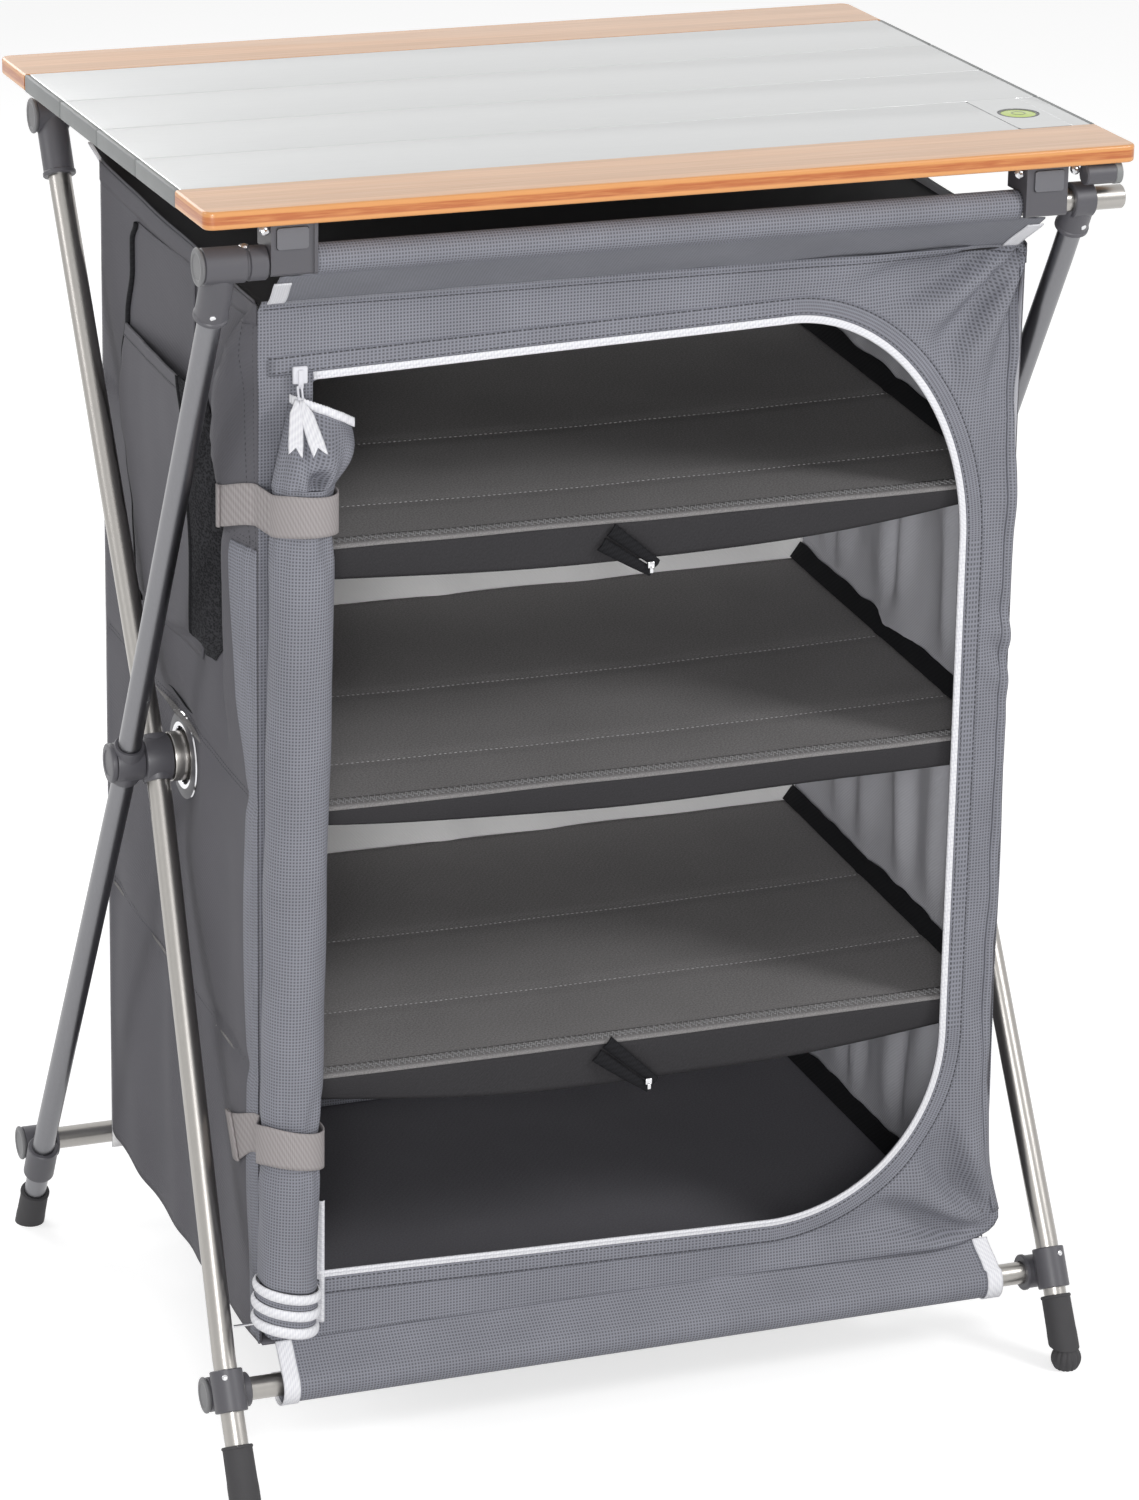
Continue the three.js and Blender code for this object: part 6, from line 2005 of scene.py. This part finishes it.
@dataclass
class LevelSheets:
    """The floor and the roof of the cabinet."""

    half_width: float = 0.3335
    front: float = -0.2285
    back: float = 0.2105

    def build(self) -> None:
        """Builds the floor felt and the roof sheet."""
        self.build_one("floor_panel", 0.1035, 0.0140, FLOOR_FELT, 0.0024, 0.0006)
        # The roof takes the black nylon, painted shade for the shade under the plank.
        self.build_one("top_panel", 1.0080, 0.0100, PAINTED_SHADE_NYLON, 0.0014, 0.0045)
        self.build_floor_binding()

    def build_floor_binding(self) -> None:
        """The black binding that stands up where the floor meets the side walls."""
        bm = bmesh.new()
        for side in Side:

            def bound(u: float, v: float, side: Side = side) -> Vector:
                """The binding up one side wall."""
                y = self.front + 0.006 + (self.back - self.front - 0.010) * u
                turn = math.pi / 2 * smooth(v)
                ragged = 1 + 0.3 * uneven(y / 0.035, 3.0, side.value)
                x = side.value * (self.half_width - 0.0008 - 0.011 * math.cos(turn))
                return Vector((x, y, 0.1060 + 0.0140 * u + 0.0150 * ragged * (1 - math.cos(turn))))

            mapped_sheet(bm, 60, 7, bound, (0.43, 0.02))
        sewn("floor_bindings", bm, (BINDING,), 0.0012)

    def build_one(self, node: str, height: float, rise: float, finish: Finish, thickness: float, sag: float) -> None:
        """One level sheet that sags a little in its middle.

        Args:
            node: The sheet's name.
            height: At its front edge.
            rise: To its rear edge.
            finish: Its finish.
            thickness: Of the cloth.
            sag: In its middle.
        """

        def place(u: float, v: float) -> Vector:
            """The sheet with its sag."""
            x = -self.half_width + 2 * self.half_width * u
            y = self.front + (self.back - self.front) * v
            dip = sag * math.sin(math.pi * u) * math.sin(math.pi * v)
            return Vector((x, y, height + rise * v - dip + 0.0004 * uneven(x / 0.06, y / 0.06, height)))

        bm = bmesh.new()
        mapped_sheet(bm, 90, 60, place, lambda p: (p.x, p.y))
        piece = sewn(f"{node}_cloth", bm, (finish,), thickness, (node,), "felt_cloth")


@dataclass
class DoorRoll:
    """The door, rolled up from its free edge and strapped beside the opening."""

    top_x: float = -0.3066
    bottom_x: float = -0.3226
    bottom: float = 0.172
    top: float = 0.868
    radius: float = 0.0264
    behind: float = -0.2316
    strap_heights: tuple[float, float] = (0.847, 0.301)
    rim: tuple[Point, ...] = (
        (-0.3105, 0.9320), (-0.3030, 0.9308), (-0.2840, 0.9235), (-0.2700, 0.9165), (-0.2570, 0.9085)
    )

    def axis(self, z: float) -> float:
        """The roll's middle in X at a height."""
        return self.bottom_x + (z - 0.112) / (0.880 - 0.112) * (self.top_x - self.bottom_x)

    def radius_at(self, turn: float, z: float) -> float:
        """The roll's radius by direction and height: soft folds, drawn in at the straps.

        Args:
            turn: The direction from the axis, in radians.
            z: The height.

        Returns:
            The radius.
        """
        pinch = sum(0.0026 * hump(z - strap, 0.024) for strap in self.strap_heights)
        fold = 0.0021 * math.sin(3 * turn + 7 * z) * uneven(z / 0.13, turn / 2, 1.0)
        pull = sum(hump(abs(z - strap) - 0.030, 0.022) for strap in self.strap_heights)
        crease = 0.0030 * pull * uneven(turn * 2.6, z / 0.05, 8.0)
        slim = 0.0012 * smooth((0.6 - z) / 0.4)
        return self.radius - slim - pinch + fold + crease + 0.0012 * uneven(turn, z / 0.06, 2.5)

    def round_at(self, turn: float, z: float, radius: float) -> Vector:
        """A point round the roll; it is flat where it rests on the cabinet."""
        y = self.behind - self.radius - 0.0004 + radius * math.sin(turn)
        return Vector((self.axis(z) + radius * math.cos(turn), min(y, self.behind), z))

    def rim_at(self, share: float) -> Point:
        """A point on the zip's line at the mouth.

        Args:
            share: How far along the line, from 0 to 1.

        Returns:
            Its X and Z.
        """
        along = share * (len(self.rim) - 1)
        i = min(int(along), len(self.rim) - 2)
        (ax, az), (bx, bz) = self.rim[i], self.rim[i + 1]
        return ax + (along - i) * (bx - ax), az + (along - i) * (bz - az)

    def build(self) -> None:
        """Builds the roll, its flared top and its lower end."""
        bm = bmesh.new()

        def outside(u: float, v: float) -> Vector:
            """The roll's outside."""
            turn = 2 * math.pi * u
            tilt = -0.20 * self.radius * math.cos(turn) * (1 - v) ** 12
            z = self.bottom + tilt + (self.top - self.bottom - tilt) * v
            return self.round_at(turn, z, self.radius_at(math.pi - abs(turn - math.pi), z))

        mapped_sheet(bm, 72, 230, outside, (0.171, self.top - self.bottom))
        self.add_flare(bm)
        self.add_lower_end(bm)
        cloths = (CHECKED, WHITE_TAPE, LINING)
        piece = sewn("rolled_door", bm, cloths, 0.0010, ("door_roll",), "grey_cloth", offset=-1.0)

    def add_flare(self, bm: bmesh.types.BMesh) -> None:
        """Above the upper strap the roll opens to a flattened cone whose rim is the zip.

        Args:
            bm: The mesh to add to.
        """

        def place(u: float, v: float) -> Vector:
            """The flare, from the roll to the rim."""
            turn = 2 * math.pi * u
            in_front = math.sin(turn) < 0
            base = self.round_at(turn, self.top, self.radius_at(math.pi - abs(turn - math.pi), self.top))
            share = 0.5 + 0.5 * math.cos(turn)
            x, z = self.rim_at(share)
            mouth = 0.013 * math.sin(math.pi * share) if in_front else 0.0
            top = Vector((x, self.behind - 0.0025 - mouth, z))
            where = base.lerp(top, smooth(v) * 0.35 + v * 0.65)
            arch = math.sin(math.pi * min(1.0, v * 1.12))
            where.x += 0.006 * arch * smooth((share - 0.45) / 0.4)
            if in_front:
                where.y -= 0.006 * arch * (0.55 + 0.45 * math.sin(math.pi * share))
                where.y += 0.017 * hump(share - 0.56, 0.12) * hump(v - 0.17, 0.16)
                where.y += 0.0030 * math.sin(15 * share + 5 * v) * arch
            where.z += 0.004 * math.sin(9 * share) * arch
            return Vector((where.x, min(where.y, self.behind), where.z))

        mapped_sheet(bm, 96, 36, place, (0.171, 0.07))

        def zip_rim(u: float, v: float) -> Vector:
            """The zip along the rim."""
            x, z = self.rim_at(u)
            turn = 2 * math.pi * v
            front = self.behind - 0.0045 - 0.013 * math.sin(math.pi * u)
            teeth = 0.0005 * math.cos(math.pi * round(u * 60)) * max(0.0, math.sin(turn))
            return Vector((x, front + 0.0019 * math.cos(turn), z + (0.0040 + teeth) * math.sin(turn)))

        mapped_sheet(bm, 60, 14, zip_rim, (0.056, 0.016), 1)

    def add_lower_end(self, bm: bmesh.types.BMesh) -> None:
        """The zip edge shows three times, as white bands, where the turns step down out of the roll.

        Args:
            bm: The mesh to add to.
        """
        steps = (
            (0.1720, 0.1622, 0.0278, 0.0014, 1), (0.1622, 0.1570, 0.0262, 0.0000, 0),
            (0.1570, 0.1472, 0.0280, 0.0014, 1), (0.1472, 0.1415, 0.0260, 0.0000, 0),
            (0.1415, 0.1312, 0.0274, 0.0015, 1)
        )
        for high, low, radius, bead, finish in steps:

            def band(
                u: float, v: float, high: float = high, low: float = low, radius: float = radius, bead: float = bead
            ) -> Vector:
                """One step of the lower end."""
                turn = 2 * math.pi * u
                r = radius - 0.0026 * (1 if bead else 0) * (1 - math.sin(math.pi * v) ** 0.5) + bead
                z = high + (low - high) * v - 0.20 * self.radius * math.cos(turn)
                spot = self.round_at(turn, z, r + 0.0008 * uneven(turn, z / 0.02, 6.0))
                return spot + Vector((-0.0012 * (0.172 - high) / 0.03, 0, 0))

            mapped_sheet(bm, 72, 8, band, (0.17, high - low), finish)

        def under(u: float, v: float) -> Vector:
            """The underside of the roll."""
            turn = 2 * math.pi * u
            z = steps[-1][1] + 0.0010 + 0.006 * v - 0.20 * self.radius * math.cos(turn)
            return self.round_at(turn, z, 0.0262 * (1 - 0.9 * v))

        mapped_sheet(bm, 72, 8, under, (0.17, 0.026), 2)


@dataclass
class Strap:
    """A grey webbing strap from the side wall round the corner and the roll."""

    node: str
    heights: tuple[Point, ...]
    width: float = 0.035
    wall_end: float = -0.162
    tail_slant: float = 0.0

    def build(self) -> None:
        """Builds the strap with the doubled end that is sewn to the wall."""
        roll = DoorRoll()
        wall = SideWall(Side.LEFT)
        on_roll = self.heights[-2][1]
        centre_x = roll.axis(on_roll)
        radius = roll.radius + 0.0014
        centre_y = roll.behind - roll.radius - 0.0004
        corner = -0.2335
        path: list[Point] = []
        for i in range(17):
            y = self.wall_end + (corner - self.wall_end) * i / 16
            z = from_table(self.heights, i / 70)
            path.append((-wall.plane - wall.depth(y, z) - 0.0022, y))
        first = Vector(path[-1])
        towards = math.atan2(first.y - centre_y, first.x - centre_x)
        spread = math.acos(min(1.0, radius / math.hypot(first.y - centre_y, first.x - centre_x)))
        start = towards + spread
        touch = (centre_x + radius * math.cos(start), centre_y + radius * math.sin(start))
        path += [(first.x + t * (touch[0] - first.x), first.y + t * (touch[1] - first.y)) for t in (0.3, 0.6)]
        sweep = 2 * math.pi - start if start > 0 else -start
        for i in range(49):
            angle = start + sweep * i / 48
            path.append((centre_x + radius * math.cos(angle), centre_y + radius * math.sin(angle)))
        path.append((centre_x + radius, roll.behind - 0.001))
        count = len(path) - 1

        def place(u: float, v: float) -> Vector:
            """The strap along its path."""
            x, y = path[round(u * count)]
            slant = self.tail_slant * (1 - smooth(u / 0.2)) * (v - 0.5)
            z = from_table(self.heights, u) + self.width * (v - 0.5) * (1 - 0.06 * hump(u - 0.75, 0.2))
            return Vector((x, y + slant, z))

        bm = bmesh.new()
        mapped_sheet(bm, count, 10, place, (0.24, self.width))

        def tail(u: float, v: float) -> Vector:
            """The doubled end on the wall."""
            x, y = path[round(u * 4)]
            z = from_table(self.heights, u * 4 / count) + (self.width + 0.001) * (v - 0.5)
            return Vector((x - 0.0018, y - 0.001 + self.tail_slant * (v - 0.5), z))

        mapped_sheet(bm, 4, 10, tail, (0.018, self.width))
        sewn(f"{self.node}_webbing", bm, (STRAP,), 0.0014, (self.node,), "strap_cloth")


@dataclass
class HemPin:
    """The thin metal pin that ties the hem's front corner to the leg."""

    start: float = 0.334
    end: float = 0.3602
    place: Point = (-0.2318, 0.1255)
    radius: float = 0.0012

    def build(self) -> None:
        """Builds the pin with its flattened eye."""
        bm = bmesh.new()
        y, z = self.place
        r = self.radius
        turned(bm, [(0, self.start), (r, self.start), (r, self.end), (0, self.end)], (0, y, z), (-1, 0, 0), 12)
        eye = [(0.0018, -0.0006), (0.0036, -0.0006), (0.0036, 0.0006), (0.0018, 0.0006), (0.0018, -0.0006)]
        turned(bm, eye, (-self.start - 0.0035, y - 0.001, z), (0, 1, 0), 24)
        sewn("hem_pin", bm, (CHROME,), slot="chrome", sharp=38.0)


@dataclass
class SidePocket:
    """The pocket on the left wall: a flat backing with a dark round band along its rear edge, a hemmed pouch and a
    net gusset.
    """

    wall: float = -0.3368
    bottom: float = 0.668
    top: float = 0.912
    front_depth: float = 0.0165
    rear_depth: float = 0.0045
    rear_edge: tuple[Point, ...] = (
        (0.668, 0.088), (0.700, 0.097), (0.748, 0.103), (0.790, 0.122), (0.817, 0.137), (0.845, 0.141),
        (0.873, 0.132), (0.915, 0.115), (0.959, 0.100), (0.985, 0.100), (1.002, 0.088)
    )

    front_edge: tuple[Point, ...] = (
        (0.668, -0.088), (0.700, -0.098), (0.770, -0.101), (0.870, -0.086), (0.912, -0.071)
    )
    net_edge: tuple[Point, ...] = (
        (0.676, -0.120), (0.710, -0.145), (0.775, -0.143), (0.870, -0.126), (0.912, -0.100)
    )

    def pouch(self, u: float, v: float, proud: float = 0.0) -> Vector:
        """A point on the pouch: front to rear, bottom to mouth.

        Args:
            u: The share from front to rear.
            v: The share from bottom to mouth.
            proud: How far off the cloth.

        Returns:
            The point.
        """
        low = self.bottom + 0.016 * smooth(1 - u / 0.5)
        z = low + (self.top - 0.003 * u - low) * v
        front = from_table(self.front_edge, z)
        y = front + (from_table(self.rear_edge, z) - 0.003 - front) * u
        depth = self.rear_depth + (self.front_depth - self.rear_depth) * (1 - u) ** 0.9
        gather = smooth(v / 0.07) * (0.86 + 0.14 * v)
        wave = 0.0009 * uneven(y / 0.05, z / 0.09, 12.0)
        return Vector((self.wall - 0.0012 - depth * gather - wave - proud, y, z))

    def build(self) -> None:
        """Builds the backing, the pouch, the net gusset and the trim."""
        bm = bmesh.new()
        wall = SideWall(Side.LEFT)

        def backing(u: float, v: float) -> Vector:
            """The flat backing on the wall."""
            z = self.bottom + 0.002 + (1.000 - self.bottom) * v
            front = from_table(self.front_edge, z)
            y = front + (from_table(self.rear_edge, z) - front) * u
            return Vector((-wall.plane - wall.depth(y, z) - 0.0016, y, z))

        mapped_sheet(bm, 40, 60, backing, lambda p: (p.y, p.z))
        mapped_sheet(bm, 50, 60, self.pouch, lambda p: (p.y, p.z))

        def gusset(u: float, v: float) -> Vector:
            """The net between the pouch and the wall."""
            edge = self.pouch(0, v)
            y = from_table(self.net_edge, edge.z)
            base = Vector((-wall.plane - wall.depth(y, edge.z) - 0.0012, y, edge.z - 0.004))
            where = edge.lerp(base, u)
            where.x -= 0.004 * math.sin(math.pi * u) * (1 + 0.5 * uneven(u * 3, edge.z / 0.04, 3.0))
            return where

        mapped_sheet(bm, 14, 80, gusset, (0.045, 0.24), 1)
        cloth = sewn("side_pocket_cloth", bm, (WALL_NYLON, NET), 0.0009, ("side_pocket",), "grey_cloth", keep=0.2)
        self.build_trim(wall)

    def build_trim(self, wall: SideWall) -> None:
        """The dark round band along the rear edge, the mouth's hem and the row of stitches.

        Args:
            wall: The side wall that it is sewn to.
        """
        trim = bmesh.new()

        def piping(u: float, v: float) -> Vector:
            """The dark round band along the rear edge."""
            z = self.bottom + 0.001 + (1.001 - self.bottom) * u
            y = from_table(self.rear_edge, z) + 0.0005
            turn = 2 * math.pi * v
            x = -wall.plane - wall.depth(y, z) - 0.0030
            return Vector((x - 0.0022 * math.cos(turn), y + 0.0030 * math.sin(turn), z))

        mapped_sheet(trim, 90, 10, piping, (0.33, 0.012))

        def net_binding(u: float, v: float) -> Vector:
            """The binding where the net meets the pouch."""
            edge = self.pouch(0, u)
            turn = 2 * math.pi * v
            return edge + Vector((0.0014 * math.cos(turn), 0.0022 * math.sin(turn), 0))

        mapped_sheet(trim, 80, 10, net_binding, (0.24, 0.012))

        def mouth(u: float, v: float) -> Vector:
            """The hem at the mouth."""
            return self.pouch(u, 1 - 0.052 * v, 0.0011)

        mapped_sheet(trim, 60, 4, mouth, (0.19, 0.0125), 1)
        sewn("side_pocket_trim", trim, (BINDING, WALL_NYLON), 0.0007, keep=0.2)
        threads = bmesh.new()
        stitches(threads, [self.pouch(i / 49, 1 - 0.045, 0.0018) for i in range(50)])
        sewn("side_pocket_threads", threads, (THREAD,), keep=0.2)


# Studio


@dataclass
class Studio:
    """A pale floor, soft light and the camera at the photograph's angle."""

    place: tuple[float, float, float] = (-1.62792, -4.25637, 2.12338)
    azimuth: float = -0.370320711
    elevation: float = 0.337618953
    roll: float = 0.0171226
    focal: float = 5502.33
    image_width: int = 1139
    world_strength: float = 0.40
    floor_glow: float = 0.62

    def build(self) -> None:
        """Builds the camera, the floor, the world and the lamps."""
        self.build_camera()
        self.build_floor()
        self.build_world()
        self.build_lamps()
        bpy.context.scene.view_settings.view_transform = "Standard"

    def build_camera(self) -> None:
        """The camera, from its place and three angles."""
        a, e = self.azimuth, self.elevation
        back = Vector((math.sin(a) * math.cos(e), -math.cos(a) * math.cos(e), math.sin(e)))
        right = Vector((0, 0, 1)).cross(back).normalized()
        up = back.cross(right)
        c, s = math.cos(self.roll), math.sin(self.roll)
        right, up = right * c + up * s, up * c - right * s
        data = bpy.data.cameras.new("camera")
        data.sensor_fit = "HORIZONTAL"
        data.sensor_width = 36.0
        data.lens = self.focal / self.image_width * data.sensor_width
        data.clip_end = 60.0
        camera = bpy.data.objects.new("camera", data)
        turn = Matrix((right, up, back)).transposed().to_4x4()
        camera.matrix_world = Matrix.Translation(self.place) @ turn
        bpy.context.scene.collection.objects.link(camera)
        bpy.context.scene.camera = camera

    def build_floor(self) -> None:
        """A wide pale floor that shows as white but keeps the shadow."""
        bm = bmesh.new()
        bmesh.ops.create_grid(bm, x_segments=2, y_segments=2, size=20.0)
        mesh = bpy.data.meshes.new("floor")
        bm.to_mesh(mesh)
        bm.free()
        material = bpy.data.materials.new("studio_floor")
        material.use_nodes = True
        tree = material.node_tree
        strength = add_node(tree, "Math", {0: self.seen(tree), 1: self.floor_glow}, operation="MULTIPLY")
        glow = add_node(tree, "Emission", {"Color": linear("#FFFFFF"), "Strength": strength})
        pale = add_node(tree, "BsdfDiffuse", {"Color": linear("#DADADA")})
        add_node(tree, "OutputMaterial", {"Surface": add_node(tree, "AddShader", {0: glow, 1: pale})})
        mesh.materials.append(material)
        floor = bpy.data.objects.new("floor", mesh)
        bpy.context.scene.collection.objects.link(floor)

    @staticmethod
    def seen(tree: bpy.types.NodeTree) -> bpy.types.Node:
        """Empties a tree, and returns a node that is 1 for rays from the camera, gloss and glass, and else 0.

        Args:
            tree: The tree.

        Returns:
            The node.
        """
        tree.nodes.clear()
        rays = add_node(tree, "LightPath").outputs
        either = add_node(tree, "Math", {0: rays["Is Camera Ray"], 1: rays["Is Glossy Ray"]}, operation="MAXIMUM")
        return add_node(tree, "Math", {0: either, 1: rays["Is Transmission Ray"]}, operation="MAXIMUM")

    def build_world(self) -> None:
        """White where it is seen or mirrored, and a plain level of light elsewhere."""
        world = bpy.data.worlds.new("studio_world")
        world.use_nodes = True
        tree = world.node_tree
        shown = self.seen(tree)
        plain = add_node(tree, "Background", {"Color": linear("#FFFFFF"), "Strength": self.world_strength})
        white = add_node(tree, "Background", {"Color": linear("#FFFFFF"), "Strength": 1.0})
        both = add_node(tree, "MixShader", {"Fac": shown, 1: plain, 2: white})
        add_node(tree, "OutputWorld", {"Surface": both})
        bpy.context.scene.world = world

    def build_lamps(self) -> None:
        """Five soft boxes: three in front, which reach into the cabinet, one at the side and one behind."""
        lamps = (
            ("front", (-1.6, -4.5, 1.9), (0, 0, 0.55), 1.2, 60.0),
            ("low", (-2.0, -4.3, 1.2), (0, 0, 0.6), 1.2, 42.0), ("high", (2.9, -2.9, 3.1), (0, 0, 0.55), 1.2, 78.0),
            ("side", (-4.2, 0.6, 2.8), (0, 0, 0.6), 1.6, 40.0), ("rear", (-1.2, 3.6, 2.6), (0, 0, 0.9), 2.6, 60.0)
        )
        for name, place, target, size, power in lamps:
            data = bpy.data.lights.new(name, "AREA")
            data.shape = "SQUARE"
            data.size = size
            data.energy = power
            lamp = bpy.data.objects.new(name, data)
            way = Vector(place) - Vector(target)
            lamp.matrix_world = Matrix.Translation(place) @ way.to_track_quat("Z", "Y").to_matrix().to_4x4()
            bpy.context.scene.collection.objects.link(lamp)


def bar_strips() -> list[BarStrip]:
    """The four strips that hang the cabinet on the bars.

    Returns:
        The strips.
    """
    front_low = (-0.2396, 0.0695)
    rear_low = (0.2782, 0.0905)
    top_ends = ((0.3255, 0.3315, 0.3045), (0.3245, 0.3300, 0.3045))
    low_ends = ((0.3205, 0.3205, 0.3205), (0.336, 0.340, 0.342))
    rear_ends = ((0.293, 0.293, 0.293), (0.336, 0.340, 0.342))
    return [
        BarStrip(
            "front_top_strip", "front_panel", (-0.2305, 1.012), (-0.273, 1.056), 0.0116, 0.325,
            top_ends, "frame_a", True, math.radians(279), STRIP_CLOTH, CHECKED, 21,
        ),
        # The rear top strip takes the black nylon, painted shade for the shade under the plank.
        BarStrip(
            "rear_top_strip", "back_panel", (0.2125, 1.012), (0.273, 1.056), 0.0116, 0.325,
            top_ends, "frame_b", False, math.radians(279), PAINTED_SHADE_NYLON, CHECKED, 21,
        ),
        BarStrip(
            "front_low_tunnel", "front_panel", (-0.2305, 0.1045), front_low, 0.0162, 0.330,
            low_ends, "frame_b", True, math.radians(230), CHECKED, CHECKED, 56,
        ),
        BarStrip(
            "rear_low_tunnel", "back_panel", (0.2125, 0.1045), rear_low, 0.0162, 0.330,
            rear_ends, "frame_a", False, math.radians(230), CHECKED, CHECKED, 56,
        ),
    ]


def dress_left_over() -> None:
    """Gives every CAD node that still shows and has no finish of its own a moulded one."""
    for name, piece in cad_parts.items():
        if not piece.hide_render and not any(slot.material for slot in piece.material_slots):
            piece.data.materials.append(BLACK_PLASTIC.build())
            log.info("left over: %s", name)


def main() -> None:
    """Builds the studio and the kitchen's sub-assemblies in order."""
    logging.basicConfig(level=logging.INFO, format="%(name)s %(message)s")
    Studio().build()
    TableTop().build()
    Clips().build()
    CrossedFrame("a", Tilt.FRONT, Side.LEFT, GREY_TUBE, stub=True, knob=False).build()
    CrossedFrame("b", Tilt.REAR, Side.RIGHT, BRIGHT_TUBE, stub=False, knob=True).build()
    Hub().build()
    DoorFront().build()
    for strip in bar_strips():
        strip.build()
    for side in Side:
        SideWall(side).build()
    BackPanel().build()
    Shelf("upper", SHELF_HEIGHTS["upper"], zip_line=((-0.034, 0.790), (0.013, 0.756))).build()
    Shelf("middle", SHELF_HEIGHTS["middle"], flap_edge=(0.570, 0.549, 0.554)).build()
    Shelf(
        "lower", SHELF_HEIGHTS["lower"], flap_edge=(0.328, 0.297, 0.318), zip_line=((-0.029, 0.334), (0.022, 0.291)),
        seams=(0.035, -0.105)
    ).build()
    LevelSheets().build()
    DoorRoll().build()
    Strap("strap_upper", ((0, 0.829), (0.24, 0.845), (0.5, 0.848), (1, 0.845))).build()
    Strap("strap_lower", ((0, 0.272), (0.24, 0.298), (0.5, 0.305), (1, 0.294)), tail_slant=0.022).build()
    SidePocket().build()
    HemPin().build()
    dress_left_over()


if __name__ == "__main__":
    main()
